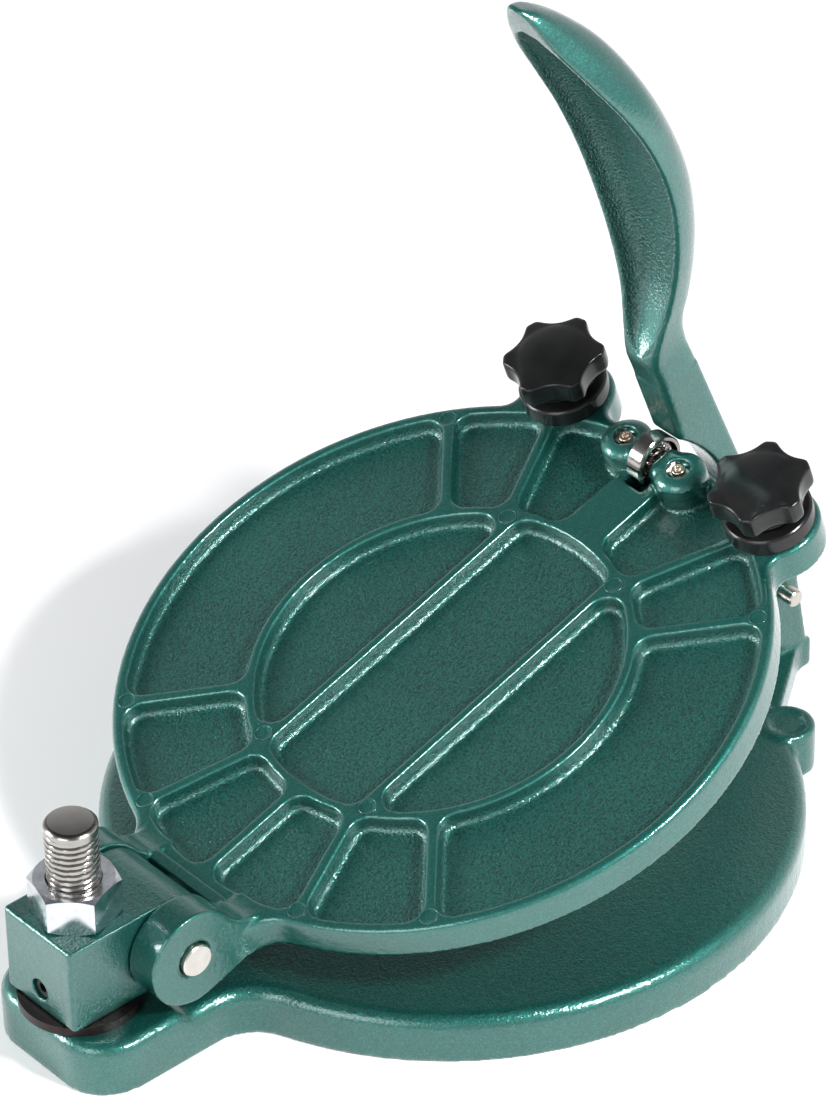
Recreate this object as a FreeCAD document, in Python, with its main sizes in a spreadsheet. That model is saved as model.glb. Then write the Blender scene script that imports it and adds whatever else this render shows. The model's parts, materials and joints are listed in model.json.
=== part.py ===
import FreeCAD, Part

import math
import os

import Sketcher

# Hand lever tortilla press with a ten inch plate, in millimetres.
# The origin is on the ground under the centre of the base disc. +X runs from the hinge to the lever,
# +Z is up, and the press is symmetric about the XZ plane. It is shown open, with the lever resting
# against the roller. Pieces of the top plate are drawn with the plate closed and the hinge axis as
# their origin, and are then tilted up by open_angle.

SIZES = {
    # base casting
    "base_radius": 134.2, "base_height": 19.3, "base_rounding": 6.0,
    "lug_end": 201.0, "lug_half": 34.3, "lug_corner": 20.0, "lug_height": 22.0, "lug_step": 157.0,
    "lug_rounding": 4.5, "lug_blend": 22.0, "relief_depth": 4.0, "relief_wall": 7.0,
    "relief_hub": 34.0, "relief_rib": 7.0,
    "stop_boss_radius": 11.0, "stop_boss_height": 20.6, "stop_recess_radius": 7.5,
    "stop_recess_depth": 1.1, "boss_rounding": 1.6,
    # lever bracket of the base
    "cheek_thickness": 10.0, "cheek_top": 11.5, "bracket_back": 172.7, "bracket_back_top": 164.8,
    "bracket_front": 131.5, "bracket_blend": 9.0, "cheek_rounding": 1.8,
    "flange_reach": 165.0, "flange_side": 50.0,
    # hinge column
    "hinge_height": 43.9, "hinge_reach": 152.9, "stud_offset": 27.3, "spacer_radius": 23.4,
    "block_half": 19.0, "block_front": 45.85, "block_top": 62.2, "block_nose": 18.2,
    "block_rounding": 1.6, "stud_radius": 10.0, "stud_top": 103.3, "stud_chamfer": 1.6,
    "head_radius": 17.3, "head_height": 8.0, "nut_flats": 30.0, "nut_height": 15.5,
    "nut_chamfer": 2.2, "hinge_pin_radius": 6.5, "set_screw_radius": 3.0, "set_screw_drop": 9.0, "set_screw_depth": 1.5,
    # top plate casting
    "open_angle": 17.6, "plate_radius": 127.0, "plate_thickness": 14.0, "plate_drop": 5.6,
    "land_radius": 122.5, "land_height": 3.0, "plate_rounding": 2.4, "rim_width": 5.0,
    "pocket_depth": 4.2, "pocket_corner": 7.0, "pocket_fillet": 2.2, "crest_fillet": 0.9,
    "ring_radius": 73.2, "rib_width": 4.2, "band_half": 27.0, "lever_band_half": 10.2,
    "hinge_rib_half": 2.3, "hinge_rib_angle": 21.0, "lever_rib_angle": 25.5,
    "side_rib_angle": 45.2, "mark_radius": 3.5, "mark_depth": 0.3, "mark_reach": 121.0,
    # hinge ears of the top plate
    "ear_outer": 33.5, "ear_gap": 0.5, "ear_fillet": 2.0, "neck_blend": 16.0, "web_gap": 3.4,
    "stop_bar_width": 5.0, "stop_bar_rise": 3.0,
    # knob tabs and roller bosses of the top plate
    "tab_x": 121.6, "tab_y": 56.3, "tab_radius": 19.0, "tab_blend": 7.0,
    "roller_x": 115.6, "roller_drop": 1.9, "boss_radius": 9.5, "boss_centre": 14.6,
    "boss_cheek": 7.4, "boss_rise": 2.6, "boss_dome": 4.5, "slot_half": 4.6, "slot_play": 1.5, "toe_notch": 8.6,
    # roller bearing and its axle
    "roller_radius": 11.0, "roller_half": 3.5, "race_outer": 9.0, "race_inner": 5.5,
    "bore_radius": 3.5, "ball_radius": 1.95, "ball_count": 7, "axle_half": 21.0,
    "axle_flat": 2.0, "screw_radius": 1.5, "screw_length": 11.0, "screw_head": 2.75,
    "screw_head_height": 2.1, "counterbore": 4.6, "cage_thickness": 2.2,
    # plate adjusters
    "adjuster_radius": 5.0, "adjuster_tip": 22.1, "adjuster_travel": 2.0, "collar_radius": 17.4,
    "collar_height": 7.4, "knob_gap": 2.8, "knob_radius": 21.0, "knob_height": 20.0,
    "knob_dome": 2.6, "scallop_radius": 9.0, "scallop_pitch": 25.6, "lobe_count": 7,
    "insert_radius": 8.0, "insert_height": 4.5, "knob_bore": 10.0,
    # lever
    "pivot_x": 153.5, "pivot_height": 47.0, "lever_lean": 20.0, "lever_ratio": 2.0,
    "lever_half": 7.5, "arm_front": 10.6, "arm_back": 11.5, "arm_back_top": 10.0, "arm_top": 138.0,
    "arm_middle": 58.0, "arm_rounding": 2.4, "toe_rounding": 1.5, "neck_overlap": 11.0,
    "pivot_eye": 11.0, "pin_radius": 3.5, "pin_near": 28.0, "channel_wall": 4.2,
    "handle_length": 188.0,
    # fits
    "play": 0.03, "clearance": 0.5, "cam_clearance": 0.3,
}

# Sections of the handle, from inside the top of the arm to the tip: share of handle_length, how far
# the rim and the back stand ahead of the pivot line, the width, how far the widest line lies under
# the rim, and the roundness of the back (0.2 nearly square, 1.0 an oval).
HANDLE = [
    (-0.055, 8.6, -8.0, 12.0, 8.0, 0.22),
    (0.000, 11.0, -10.9, 16.2, 8.0, 0.28),
    (0.065, 4.6, -13.6, 18.5, 6.5, 0.45),
    (0.133, -3.5, -20.5, 26.5, 4.5, 0.65),
    (0.223, -8.8, -28.2, 37.0, 3.5, 0.80),
    (0.330, -10.0, -33.2, 44.5, 3.5, 0.86),
    (0.447, -7.9, -34.0, 45.5, 3.5, 0.88),
    (0.569, -4.7, -32.0, 41.0, 3.5, 0.88),
    (0.691, -0.8, -26.8, 34.0, 3.5, 0.88),
    (0.809, 4.3, -18.8, 25.5, 3.2, 0.85),
    (0.904, 7.6, -10.6, 18.5, 2.8, 0.80),
    (0.970, 9.2, -2.6, 11.5, 2.4, 0.75),
    (1.000, 9.4, 3.4, 5.0, 2.0, 0.70),
]
# The hollow in the handle: share of handle_length, rim, width and depth.
HOLLOW = [
    (0.070, 4.0, 1.5, 0.6), (0.100, 0.6, 9.0, 3.0), (0.133, -3.5, 17.0, 6.5), (0.223, -8.8, 28.5, 11.0),
    (0.330, -10.0, 36.0, 14.0), (0.447, -7.9, 37.0, 15.0), (0.569, -4.7, 33.0, 14.5),
    (0.691, -0.8, 26.0, 12.0), (0.809, 4.3, 18.0, 7.5), (0.880, 6.8, 11.5, 3.8), (0.925, 8.2, 4.0, 0.8),
]

Vector = FreeCAD.Vector
AXIS_X, AXIS_Y, AXIS_Z = Vector(1, 0, 0), Vector(0, 1, 0), Vector(0, 0, 1)

doc = FreeCAD.newDocument("tortilla_press")


class Size:
    """A length that knows both its number and the sheet expression that gives it."""

    def __init__(self, number, text):
        self.number = float(number)
        self.text = text

    def join(self, other, sign, number):
        text = other.text if isinstance(other, Size) else repr(float(other))
        return Size(number, "(%s %s %s)" % (self.text, sign, text))

    def __float__(self):
        return self.number

    def __add__(self, other):
        return self.join(other, "+", self.number + float(other))

    def __sub__(self, other):
        return self.join(other, "-", self.number - float(other))

    def __mul__(self, other):
        return self.join(other, "*", self.number * float(other))

    def __truediv__(self, other):
        return self.join(other, "/", self.number / float(other))

    def __neg__(self):
        return Size(-self.number, "(-1 * %s)" % self.text)

    def __pos__(self):
        return self


class Sheet:
    """The driving dimensions, read back from the spreadsheet's cells by name."""

    def __init__(self, values):
        cells = doc.addObject("Spreadsheet::Sheet", "Sizes")
        for row, (name, value) in enumerate(values.items(), start=1):
            cells.set("A%d" % row, name)
            cells.set("B%d" % row, str(value))
            cells.setAlias("B%d" % row, name)
        doc.recompute()
        for name in values:
            setattr(self, name, Size(cells.get(name), "Sizes." + name))


S = Sheet(SIZES)
ZERO = S.play * 0

# Levels and places that follow from the driving dimensions.
CHEEK_INNER = S.lever_half + S.clearance
CHEEK_OUTER = CHEEK_INNER + S.cheek_thickness
STUD_X = -(S.hinge_reach + S.stud_offset)
EAR_RADIUS = S.plate_drop + S.plate_thickness
EAR_INNER = S.block_half + S.ear_gap
PLATE_TOP = -S.plate_drop
PLATE_UNDER = PLATE_TOP - S.plate_thickness
POCKET_RADIUS = S.plate_radius - S.rim_width
WEB_X = S.block_nose + S.web_gap
ROLLER_X = S.hinge_reach + S.roller_x
ROLLER_Z = -S.roller_drop
TAB_X = S.hinge_reach + S.tab_x
HINGE = Vector(-float(S.hinge_reach), 0, float(S.hinge_height))
PIVOT = Vector(float(S.pivot_x), 0, float(S.pivot_height))
LEVER_ANGLE = 90 + float(S.lever_lean)


# ---------------------------------------------------------------- document helpers

def bind(obj, **texts):
    """Set properties of an object by expressions."""
    for name, size in texts.items():
        obj.setExpression(name, size.text)


def at_rest(obj, tilted=False, x=ZERO, z=ZERO):
    """Place a sub-part: on the opened plate, whose origin is the hinge axis, or at x, z."""
    if tilted:
        x, z = -S.hinge_reach, S.hinge_height
        obj.Placement = FreeCAD.Placement(HINGE, FreeCAD.Rotation(-AXIS_Y, float(S.open_angle)))
        obj.setExpression(".Placement.Rotation.Angle", S.open_angle.text)
    obj.setExpression(".Placement.Base.x", x.text)
    obj.setExpression(".Placement.Base.z", z.text)
    return obj


def feature(label, shape, tilted=False):
    """A sub-part whose shape is worked out by Part's own functions."""
    obj = doc.addObject("Part::Feature", label)
    obj.Shape = shape.removeSplitter()
    return at_rest(obj, tilted)


def origin_part(body, role):
    return [o for o in body.Origin.OriginFeatures if o.Role == role][0]


def sketch_on(body, role, name):
    sketch = body.newObject("Sketcher::SketchObject", name)
    sketch.AttachmentSupport = (origin_part(body, role), [""])
    sketch.MapMode = "FlatFace"
    return sketch


def locate(sketch, geometry, point, across, up):
    """Fix one sketch point to two sizes measured from the sketch's origin."""
    for kind, size in (("DistanceX", across), ("DistanceY", up)):
        index = sketch.addConstraint(Sketcher.Constraint(kind, -1, 1, geometry, point, float(size)))
        sketch.setExpression("Constraints[%d]" % index, size.text)


def outline(sketch, points):
    """A closed outline of straight lines through points given as pairs of sizes."""
    count = len(points)
    corners = [Vector(float(a), float(b), 0) for a, b in points]
    for i in range(count):
        sketch.addGeometry(Part.LineSegment(corners[i], corners[(i + 1) % count]), False)
    for i in range(count):
        sketch.addConstraint(Sketcher.Constraint("Coincident", i, 2, (i + 1) % count, 1))
        locate(sketch, i, 1, *points[i])


def circle(sketch, across, up, radius):
    centre = Vector(float(across), float(up), 0)
    index = sketch.addGeometry(Part.Circle(centre, AXIS_Z, float(radius)), False)
    locate(sketch, index, 3, across, up)
    rule = sketch.addConstraint(Sketcher.Constraint("Radius", index, float(radius)))
    sketch.setExpression("Constraints[%d]" % rule, radius.text)


def turned(label, points):
    """A body revolved about its own Z axis from an outline of (radius, height) pairs."""
    body = doc.addObject("PartDesign::Body", label)
    sketch = sketch_on(body, "XZ_Plane", label + "_profile")
    outline(sketch, points)
    turn = body.newObject("PartDesign::Revolution", label + "_turn")
    turn.Profile = sketch
    turn.ReferenceAxis = (sketch, ["V_Axis"])
    turn.Angle = 360
    body.Tip = turn
    return body


def turned_about_y(body, x, y, z):
    """Lay a turned body of the plate along Y, at a place given from the hinge axis."""
    spin = FreeCAD.Rotation(AXIS_X, -90)
    tilt = FreeCAD.Rotation(-AXIS_Y, float(S.open_angle))
    at = HINGE + tilt.multVec(Vector(float(x), float(y), float(z)))
    body.Placement = FreeCAD.Placement(at, tilt.multiply(spin))
    return body


def pocket(body, name, sketch, length, reverse=False):
    cut = body.newObject("PartDesign::Pocket", name)
    cut.Profile = sketch
    bind(cut, Length=length)
    cut.Reversed = reverse
    body.Tip = cut
    return cut


# ---------------------------------------------------------------- shape helpers

def cylinder(radius, low, high, x=0, y=0):
    return Part.makeCylinder(float(radius), float(high) - float(low), Vector(float(x), float(y), float(low)))


def bar(radius, y_low, y_high, x, z):
    """A cylinder along Y."""
    start = Vector(float(x), float(y_low), float(z))
    return Part.makeCylinder(float(radius), float(y_high) - float(y_low), start, AXIS_Y)


def block(x_low, x_high, y_low, y_high, z_low, z_high):
    low = Vector(float(x_low), float(y_low), float(z_low))
    high = Vector(float(x_high), float(y_high), float(z_high))
    span = high - low
    return Part.makeBox(span.x, span.y, span.z, low)


def disc_face(radius, x=0.0, y=0.0):
    edge = Part.makeCircle(float(radius), Vector(float(x), float(y), 0))
    return Part.Face(Part.Wire(edge))


def rect_face(x_low, x_high, y_low, y_high):
    corners = [(x_low, y_low), (x_high, y_low), (x_high, y_high), (x_low, y_high), (x_low, y_low)]
    return Part.Face(Part.makePolygon([Vector(float(a), float(b), 0) for a, b in corners]))


def joined(*shapes):
    return shapes[0].multiFuse(list(shapes[1:])).removeSplitter()


def merged(*faces):
    """One flat face from faces that overlap."""
    return joined(*faces).Faces[0]


def blended(face, radius):
    """Fill the concave corners of a flat outline with arcs."""
    grown = face.makeOffset2D(float(radius)).Faces[0]
    return grown.makeOffset2D(-float(radius)).Faces[0]


def rounded(face, radius):
    """Round the convex corners of a flat outline."""
    shrunk = face.makeOffset2D(-float(radius)).Faces[0]
    return shrunk.makeOffset2D(float(radius)).Faces[0]


def raised(face, low, high):
    solid = face.extrude(Vector(0, 0, float(high) - float(low)))
    solid.translate(Vector(0, 0, float(low)))
    return solid


def flat_edges(shape, level, keep=lambda edge: True):
    """The edges that lie wholly at one height."""
    level = float(level)
    found = []
    for edge in shape.Edges:
        box = edge.BoundBox
        if abs(box.ZMin - level) < 1e-4 and abs(box.ZMax - level) < 1e-4 and keep(edge):
            found.append(edge)
    return found


def flat_outline(points):
    """A flat face through points given on the +Y side and mirrored to the other side."""
    near = [Vector(float(x), -float(y), 0) for x, y in points]
    far = [Vector(v.x, -v.y, 0) for v in reversed(near)]
    return Part.Face(Part.makePolygon(near + far + near[:1]))


def side_profile(points, low, high):
    """A closed outline in the XZ plane, given thickness from y = low to y = high."""
    wire = Part.makePolygon([Vector(float(x), float(low), float(z)) for x, z in points + points[:1]])
    return Part.Face(wire).extrude(Vector(0, float(high) - float(low), 0))


# ---------------------------------------------------------------- ribbed pockets

def rib_face(angle, width, length):
    """A straight rib from the centre outwards, at an angle from +X."""
    strip = rect_face(0, length, -float(width) / 2, float(width) / 2)
    strip.rotate(Vector(0, 0, 0), AXIS_Z, angle)
    return strip


def plate_pockets():
    """The outlines of the pockets in the top plate, about the plate's centre, with round corners."""
    half = S.rib_width / 2
    reach = float(S.plate_radius)
    inner = disc_face(S.ring_radius - half)
    ribs = [rect_face(-reach, reach, s * float(S.band_half) - float(half), s * float(S.band_half) + float(half))
            for s in (-1, 1)]
    faces = list(inner.cut(ribs).Faces)
    ring = disc_face(POCKET_RADIUS).cut(disc_face(S.ring_radius + half))
    lever, side, hinge = float(S.lever_rib_angle), float(S.side_rib_angle), float(S.hinge_rib_angle)
    angles = [lever, side, 180 - side, 180 - hinge]
    spokes = [rib_face(s * a, S.rib_width * 1.15, reach) for a in angles for s in (-1, 1)]
    spokes.append(rect_face(0, reach, -S.lever_band_half, S.lever_band_half))
    spokes.append(rect_face(-reach, 0, -S.hinge_rib_half, S.hinge_rib_half))
    faces += list(ring.cut(spokes).Faces)
    return [rounded(face, S.pocket_corner) for face in faces]


def mark_places():
    """The round ejector marks, where the ribs meet the ring and the rim."""
    half = float(S.band_half) + 2.5
    along = math.sqrt((float(S.ring_radius) - 2) ** 2 - half ** 2)
    places = [(sx * along, sy * half) for sx in (-1, 1) for sy in (-1, 1)]
    side, hinge = float(S.side_rib_angle), float(S.hinge_rib_angle)
    for angle in (side, 180 - side, 180 - hinge):
        for s in (-1, 1):
            turn = math.radians(s * angle)
            places.append((float(S.mark_reach) * math.cos(turn), float(S.mark_reach) * math.sin(turn)))
    return places


# ---------------------------------------------------------------- castings

def base_plate():
    lug = rect_face(-S.lug_end, -S.base_radius / 2, -S.lug_half, S.lug_half)
    bracket = rect_face(S.base_radius / 2, S.bracket_back, -CHEEK_OUTER, CHEEK_OUTER)
    flange = flat_outline([(S.base_radius / 2, S.flange_side), (S.tab_x, S.flange_side),
                           (S.flange_reach, CHEEK_OUTER)])
    disc = disc_face(S.base_radius)
    with_lug = blended(merged(disc, rounded(lug, S.lug_corner)), S.lug_blend)
    body = raised(with_lug, 0, S.base_height)
    body = body.makeFillet(float(S.base_rounding), flat_edges(body, S.base_height))

    platform = rounded(lug, S.lug_corner).common(rect_face(-S.lug_end, -S.lug_step, -S.lug_half, S.lug_half))
    platform = raised(platform.Faces[0], 0, S.lug_height)
    platform = platform.makeFillet(float(S.lug_rounding), flat_edges(platform, S.lug_height))

    with_bracket = blended(merged(disc, bracket, flange), S.bracket_blend)
    foot = raised(with_bracket, 0, S.base_height - S.base_rounding)
    foot = foot.common(block(S.base_radius / 2, S.bracket_back, -S.base_radius, S.base_radius, 0, S.base_height))
    eye = bar(S.cheek_top, -CHEEK_OUTER, CHEEK_OUTER, S.pivot_x, S.pivot_height)
    cheek = side_profile([
        (S.bracket_front, 0), (S.bracket_back, 0), (S.bracket_back_top, S.pivot_height),
        (S.pivot_x, S.pivot_height + S.cheek_top / 2), (S.pivot_x - S.cheek_top, S.pivot_height),
        (S.bracket_front, S.base_height)], -CHEEK_OUTER, CHEEK_OUTER)
    cheeks = joined(cheek, eye)
    gap = block(0, S.bracket_back + 1, -CHEEK_INNER, CHEEK_INNER, S.base_height - S.base_rounding,
                S.pivot_height + S.cheek_top + 1)
    gap = gap.common(block(S.base_radius - S.base_rounding, S.bracket_back + 1, -CHEEK_OUTER, CHEEK_OUTER,
                           0, 200))
    cheeks = cheeks.cut(gap)
    level = float(S.base_height)
    outer = [e for e in cheeks.Edges if abs(abs(e.BoundBox.YMin) - float(CHEEK_OUTER)) < 1e-4
             and e.BoundBox.YLength < 1e-4 and e.BoundBox.ZMax > level + 1]
    cheeks = cheeks.makeFillet(float(S.cheek_rounding), outer)

    body = joined(body, platform, foot, cheeks)
    for side in (-1, 1):
        boss = cylinder(S.stop_boss_radius, 0, S.stop_boss_height, S.tab_x, S.tab_y * side)
        boss = boss.makeFillet(float(S.boss_rounding), flat_edges(boss, S.stop_boss_height))
        body = joined(body, boss)
    recesses = [cylinder(S.stop_recess_radius, S.stop_boss_height - S.stop_recess_depth,
                         S.stop_boss_height + 1, S.tab_x, S.tab_y * side) for side in (-1, 1)]
    pin_hole = bar(S.pin_radius + S.play, -40, 40, S.pivot_x, S.pivot_height)
    stud_hole = cylinder(S.stud_radius + S.play, -1, S.lug_height + 1, STUD_X)
    head_hole = cylinder(S.head_radius + S.clearance, -1, S.head_height + S.clearance, STUD_X)

    wall = with_lug.makeOffset2D(-float(S.relief_wall)).Faces[0]
    ribs = [rib_face(60 * k, S.relief_rib, S.lug_end) for k in range(6)]
    lug_floor = rect_face(-S.lug_end, -(S.base_radius - S.relief_wall), -S.lug_half, S.lug_half)
    reliefs = wall.cut([disc_face(S.relief_hub), lug_floor] + ribs)
    hollows = [raised(rounded(face, S.pocket_corner), -1, S.relief_depth) for face in reliefs.Faces]
    return body.cut([gap, pin_hole, stud_hole, head_hole] + recesses + hollows)


def ear_profile():
    """Side view of one hinge ear: an eye round the pin, swept into the plate's thickness."""
    eye = disc_face(EAR_RADIUS)
    arm = rect_face(0, float(WEB_X) + 12, PLATE_UNDER, PLATE_TOP)
    return blended(merged(eye, arm), S.neck_blend)


def top_plate():
    centre = float(S.hinge_reach)
    disc = disc_face(S.plate_radius, centre)
    necks = rect_face(0, centre, -S.ear_outer, S.ear_outer)
    hull = blended(merged(disc, necks), S.neck_blend)
    tabs = [disc_face(S.tab_radius, TAB_X, S.tab_y * side) for side in (-1, 1)]
    hull = blended(merged(hull, *tabs), S.tab_blend)
    slab = raised(hull, PLATE_UNDER, PLATE_TOP)
    slab = slab.makeFillet(float(S.plate_rounding), flat_edges(slab, PLATE_TOP))
    slab = slab.cut([block(-1, WEB_X, -EAR_INNER, EAR_INNER, PLATE_UNDER - 1, PLATE_TOP + 1)])
    land = cylinder(S.land_radius, PLATE_UNDER - S.land_height, PLATE_UNDER, centre)
    slab = joined(slab, land)

    cuts = []
    for face in plate_pockets():
        tool = raised(face, PLATE_TOP - S.pocket_depth, PLATE_TOP)
        tool = tool.makeFillet(float(S.pocket_fillet), flat_edges(tool, PLATE_TOP - S.pocket_depth))
        tool.translate(Vector(centre, 0, 0))
        cuts.append(tool)
    slab = slab.cut(cuts)
    inside = S.plate_radius - S.rim_width + S.clearance
    crest = flat_edges(slab, PLATE_TOP, lambda edge: all(
        math.hypot(p.X - centre, p.Y) < float(inside) for p in edge.Vertexes))
    slab = slab.makeFillet(float(S.crest_fillet), crest)

    side = ear_profile()
    side.rotate(Vector(0, 0, 0), AXIS_X, 90)
    ears = []
    for low in (EAR_INNER, -S.ear_outer):
        ear = side.copy()
        ear.translate(Vector(0, float(low), 0))
        ear = ear.extrude(Vector(0, float(S.ear_outer - EAR_INNER), 0))
        ears.append(ear)
    bosses = []
    for sign in (-1, 1):
        plan = merged(
            disc_face(S.boss_radius, ROLLER_X, S.boss_centre * sign),
            rect_face(ROLLER_X - S.boss_cheek, ROLLER_X + S.boss_cheek,
                      *sorted((float(S.slot_half) * sign, float(S.boss_centre) * sign))))
        top = ROLLER_Z + S.roller_drop + S.boss_rise
        boss = raised(plan, PLATE_UNDER, top)
        outer = flat_edges(boss, top, lambda edge: abs(edge.CenterOfMass.y) > float(S.slot_half) + 0.5)
        bosses.append(boss.makeFillet(float(S.boss_dome), outer))
    stop_bar = block(WEB_X, WEB_X + S.stop_bar_width, -EAR_INNER, EAR_INNER, PLATE_TOP - S.stop_bar_rise,
                     PLATE_TOP + S.stop_bar_rise)
    body = joined(slab, stop_bar, *(ears + bosses))

    holes = [bar(S.hinge_pin_radius + S.play, -50, 50, 0, 0)]
    slot_back = ROLLER_X - S.roller_radius - S.slot_play
    slot_floor = ROLLER_Z - S.roller_radius - S.slot_play
    holes.append(block(slot_back, ROLLER_X + S.plate_radius, -S.slot_half, S.slot_half,
                       slot_floor, ROLLER_Z + 50))
    notch_half = S.lever_half + S.clearance * 2
    holes.append(block(ROLLER_X + S.toe_notch, ROLLER_X + S.plate_radius, -notch_half, notch_half,
                       PLATE_UNDER - S.land_height, ROLLER_Z + 50))
    holes.append(bar(S.bore_radius + S.play, -S.axle_half - S.play, S.axle_half + S.play,
                     ROLLER_X, ROLLER_Z))
    for sign in (-1, 1):
        y = S.boss_centre * sign
        holes.append(cylinder(S.counterbore, ROLLER_Z + S.axle_flat, ROLLER_Z + 50, ROLLER_X, y))
        holes.append(cylinder(S.screw_radius + S.play, ROLLER_Z - S.screw_length, ROLLER_Z, ROLLER_X, y))
        holes.append(cylinder(S.adjuster_radius + S.clearance / 2, PLATE_UNDER - 10, PLATE_TOP + 10,
                              TAB_X, S.tab_y * sign))
    for x, y in mark_places():
        holes.append(cylinder(S.mark_radius, PLATE_TOP - S.mark_depth, PLATE_TOP + 1, centre + x, y))
    return body.cut(holes)


# ---------------------------------------------------------------- hinge column

def hinge_block():
    """A cast block on the stud, with a round nose that carries the hinge pin between the ears."""
    half = S.block_half
    body = block(-(S.hinge_reach + S.block_front), -S.hinge_reach, -half, half,
                 S.hinge_height - S.block_nose, S.block_top)
    nose = bar(S.block_nose, -half, half, -S.hinge_reach, S.hinge_height)
    body = joined(body, nose)
    sharp = [e for e in body.Edges if e.Curve.TypeId == "Part::GeomLine"
             and e.BoundBox.XMax < -float(S.hinge_reach + S.stud_radius)]
    body = body.makeFillet(float(S.block_rounding), sharp)
    pin = bar(S.hinge_pin_radius + S.play, -50, 50, -S.hinge_reach, S.hinge_height)
    stud = cylinder(S.stud_radius + S.play, 0, 200, STUD_X)
    low = S.hinge_height - S.set_screw_drop
    screw = Part.makeCylinder(float(S.set_screw_radius + S.play), float(S.block_front),
                              Vector(-float(S.hinge_reach + S.block_front) - 1, 0, float(low)), AXIS_X)
    screw = screw.common(block(-300, STUD_X, -20, 20, 0, 100))
    return body.cut([pin, stud, screw])


def build_hinge_column():
    bottom = S.lug_height
    spacer_top = S.hinge_height - S.block_nose
    at_rest(turned("spacer_washer", [
        (S.stud_radius + S.play, bottom), (S.spacer_radius, bottom),
        (S.spacer_radius, spacer_top), (S.stud_radius + S.play, spacer_top)]), x=STUD_X)
    at_rest(turned("hinge_stud", [
        (ZERO, S.clearance), (S.head_radius, S.clearance), (S.head_radius, S.head_height),
        (S.stud_radius, S.head_height), (S.stud_radius, S.stud_top - S.stud_chamfer),
        (S.stud_radius - S.stud_chamfer, S.stud_top), (ZERO, S.stud_top)]), x=STUD_X)
    feature("hinge_block", hinge_block())

    corner = S.nut_flats / math.sqrt(3)
    prism = doc.addObject("Part::Prism", "nut_prism")
    prism.Polygon = 6
    bind(prism, Circumradius=corner, Height=S.nut_height)
    face = S.nut_flats / 2
    drop = S.nut_chamfer
    crown = turned("nut_crown", [
        (S.stud_radius + S.play, ZERO), (face, ZERO), (corner + S.play, drop * 0.6),
        (corner + S.play, S.nut_height - drop * 0.6), (face, S.nut_height),
        (S.stud_radius + S.play + S.clearance, S.nut_height),
        (S.stud_radius + S.play, S.nut_height - S.clearance)])
    nut = doc.addObject("Part::Common", "hinge_nut")
    nut.Base = prism
    nut.Tool = crown
    at_rest(nut, x=STUD_X, z=S.block_top)

    low = S.hinge_height - S.set_screw_drop
    front = S.hinge_reach + S.block_front
    screw = turned("block_set_screw", [
        (S.set_screw_radius * 0.5, ZERO), (S.set_screw_radius, ZERO),
        (S.set_screw_radius, S.block_front - S.stud_offset - S.stud_radius - S.set_screw_depth),
        (ZERO, S.block_front - S.stud_offset - S.stud_radius - S.set_screw_depth),
        (ZERO, S.set_screw_radius), (S.set_screw_radius * 0.5, S.set_screw_radius)])
    screw.Placement = FreeCAD.Placement(Vector(), FreeCAD.Rotation(AXIS_Y, 90))
    screw.setExpression(".Placement.Base.x", (S.set_screw_depth - front).text)
    screw.setExpression(".Placement.Base.z", low.text)

    end = S.ear_outer + S.clearance * 3
    radius = S.hinge_pin_radius
    pin = turned("hinge_pin", [
        (ZERO, -end), (radius - S.clearance, -end), (radius, S.clearance - end),
        (radius, end - S.clearance), (radius - S.clearance, end), (ZERO, end)])
    turned_about_y(pin, 0, 0, 0)


# ---------------------------------------------------------------- roller

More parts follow.
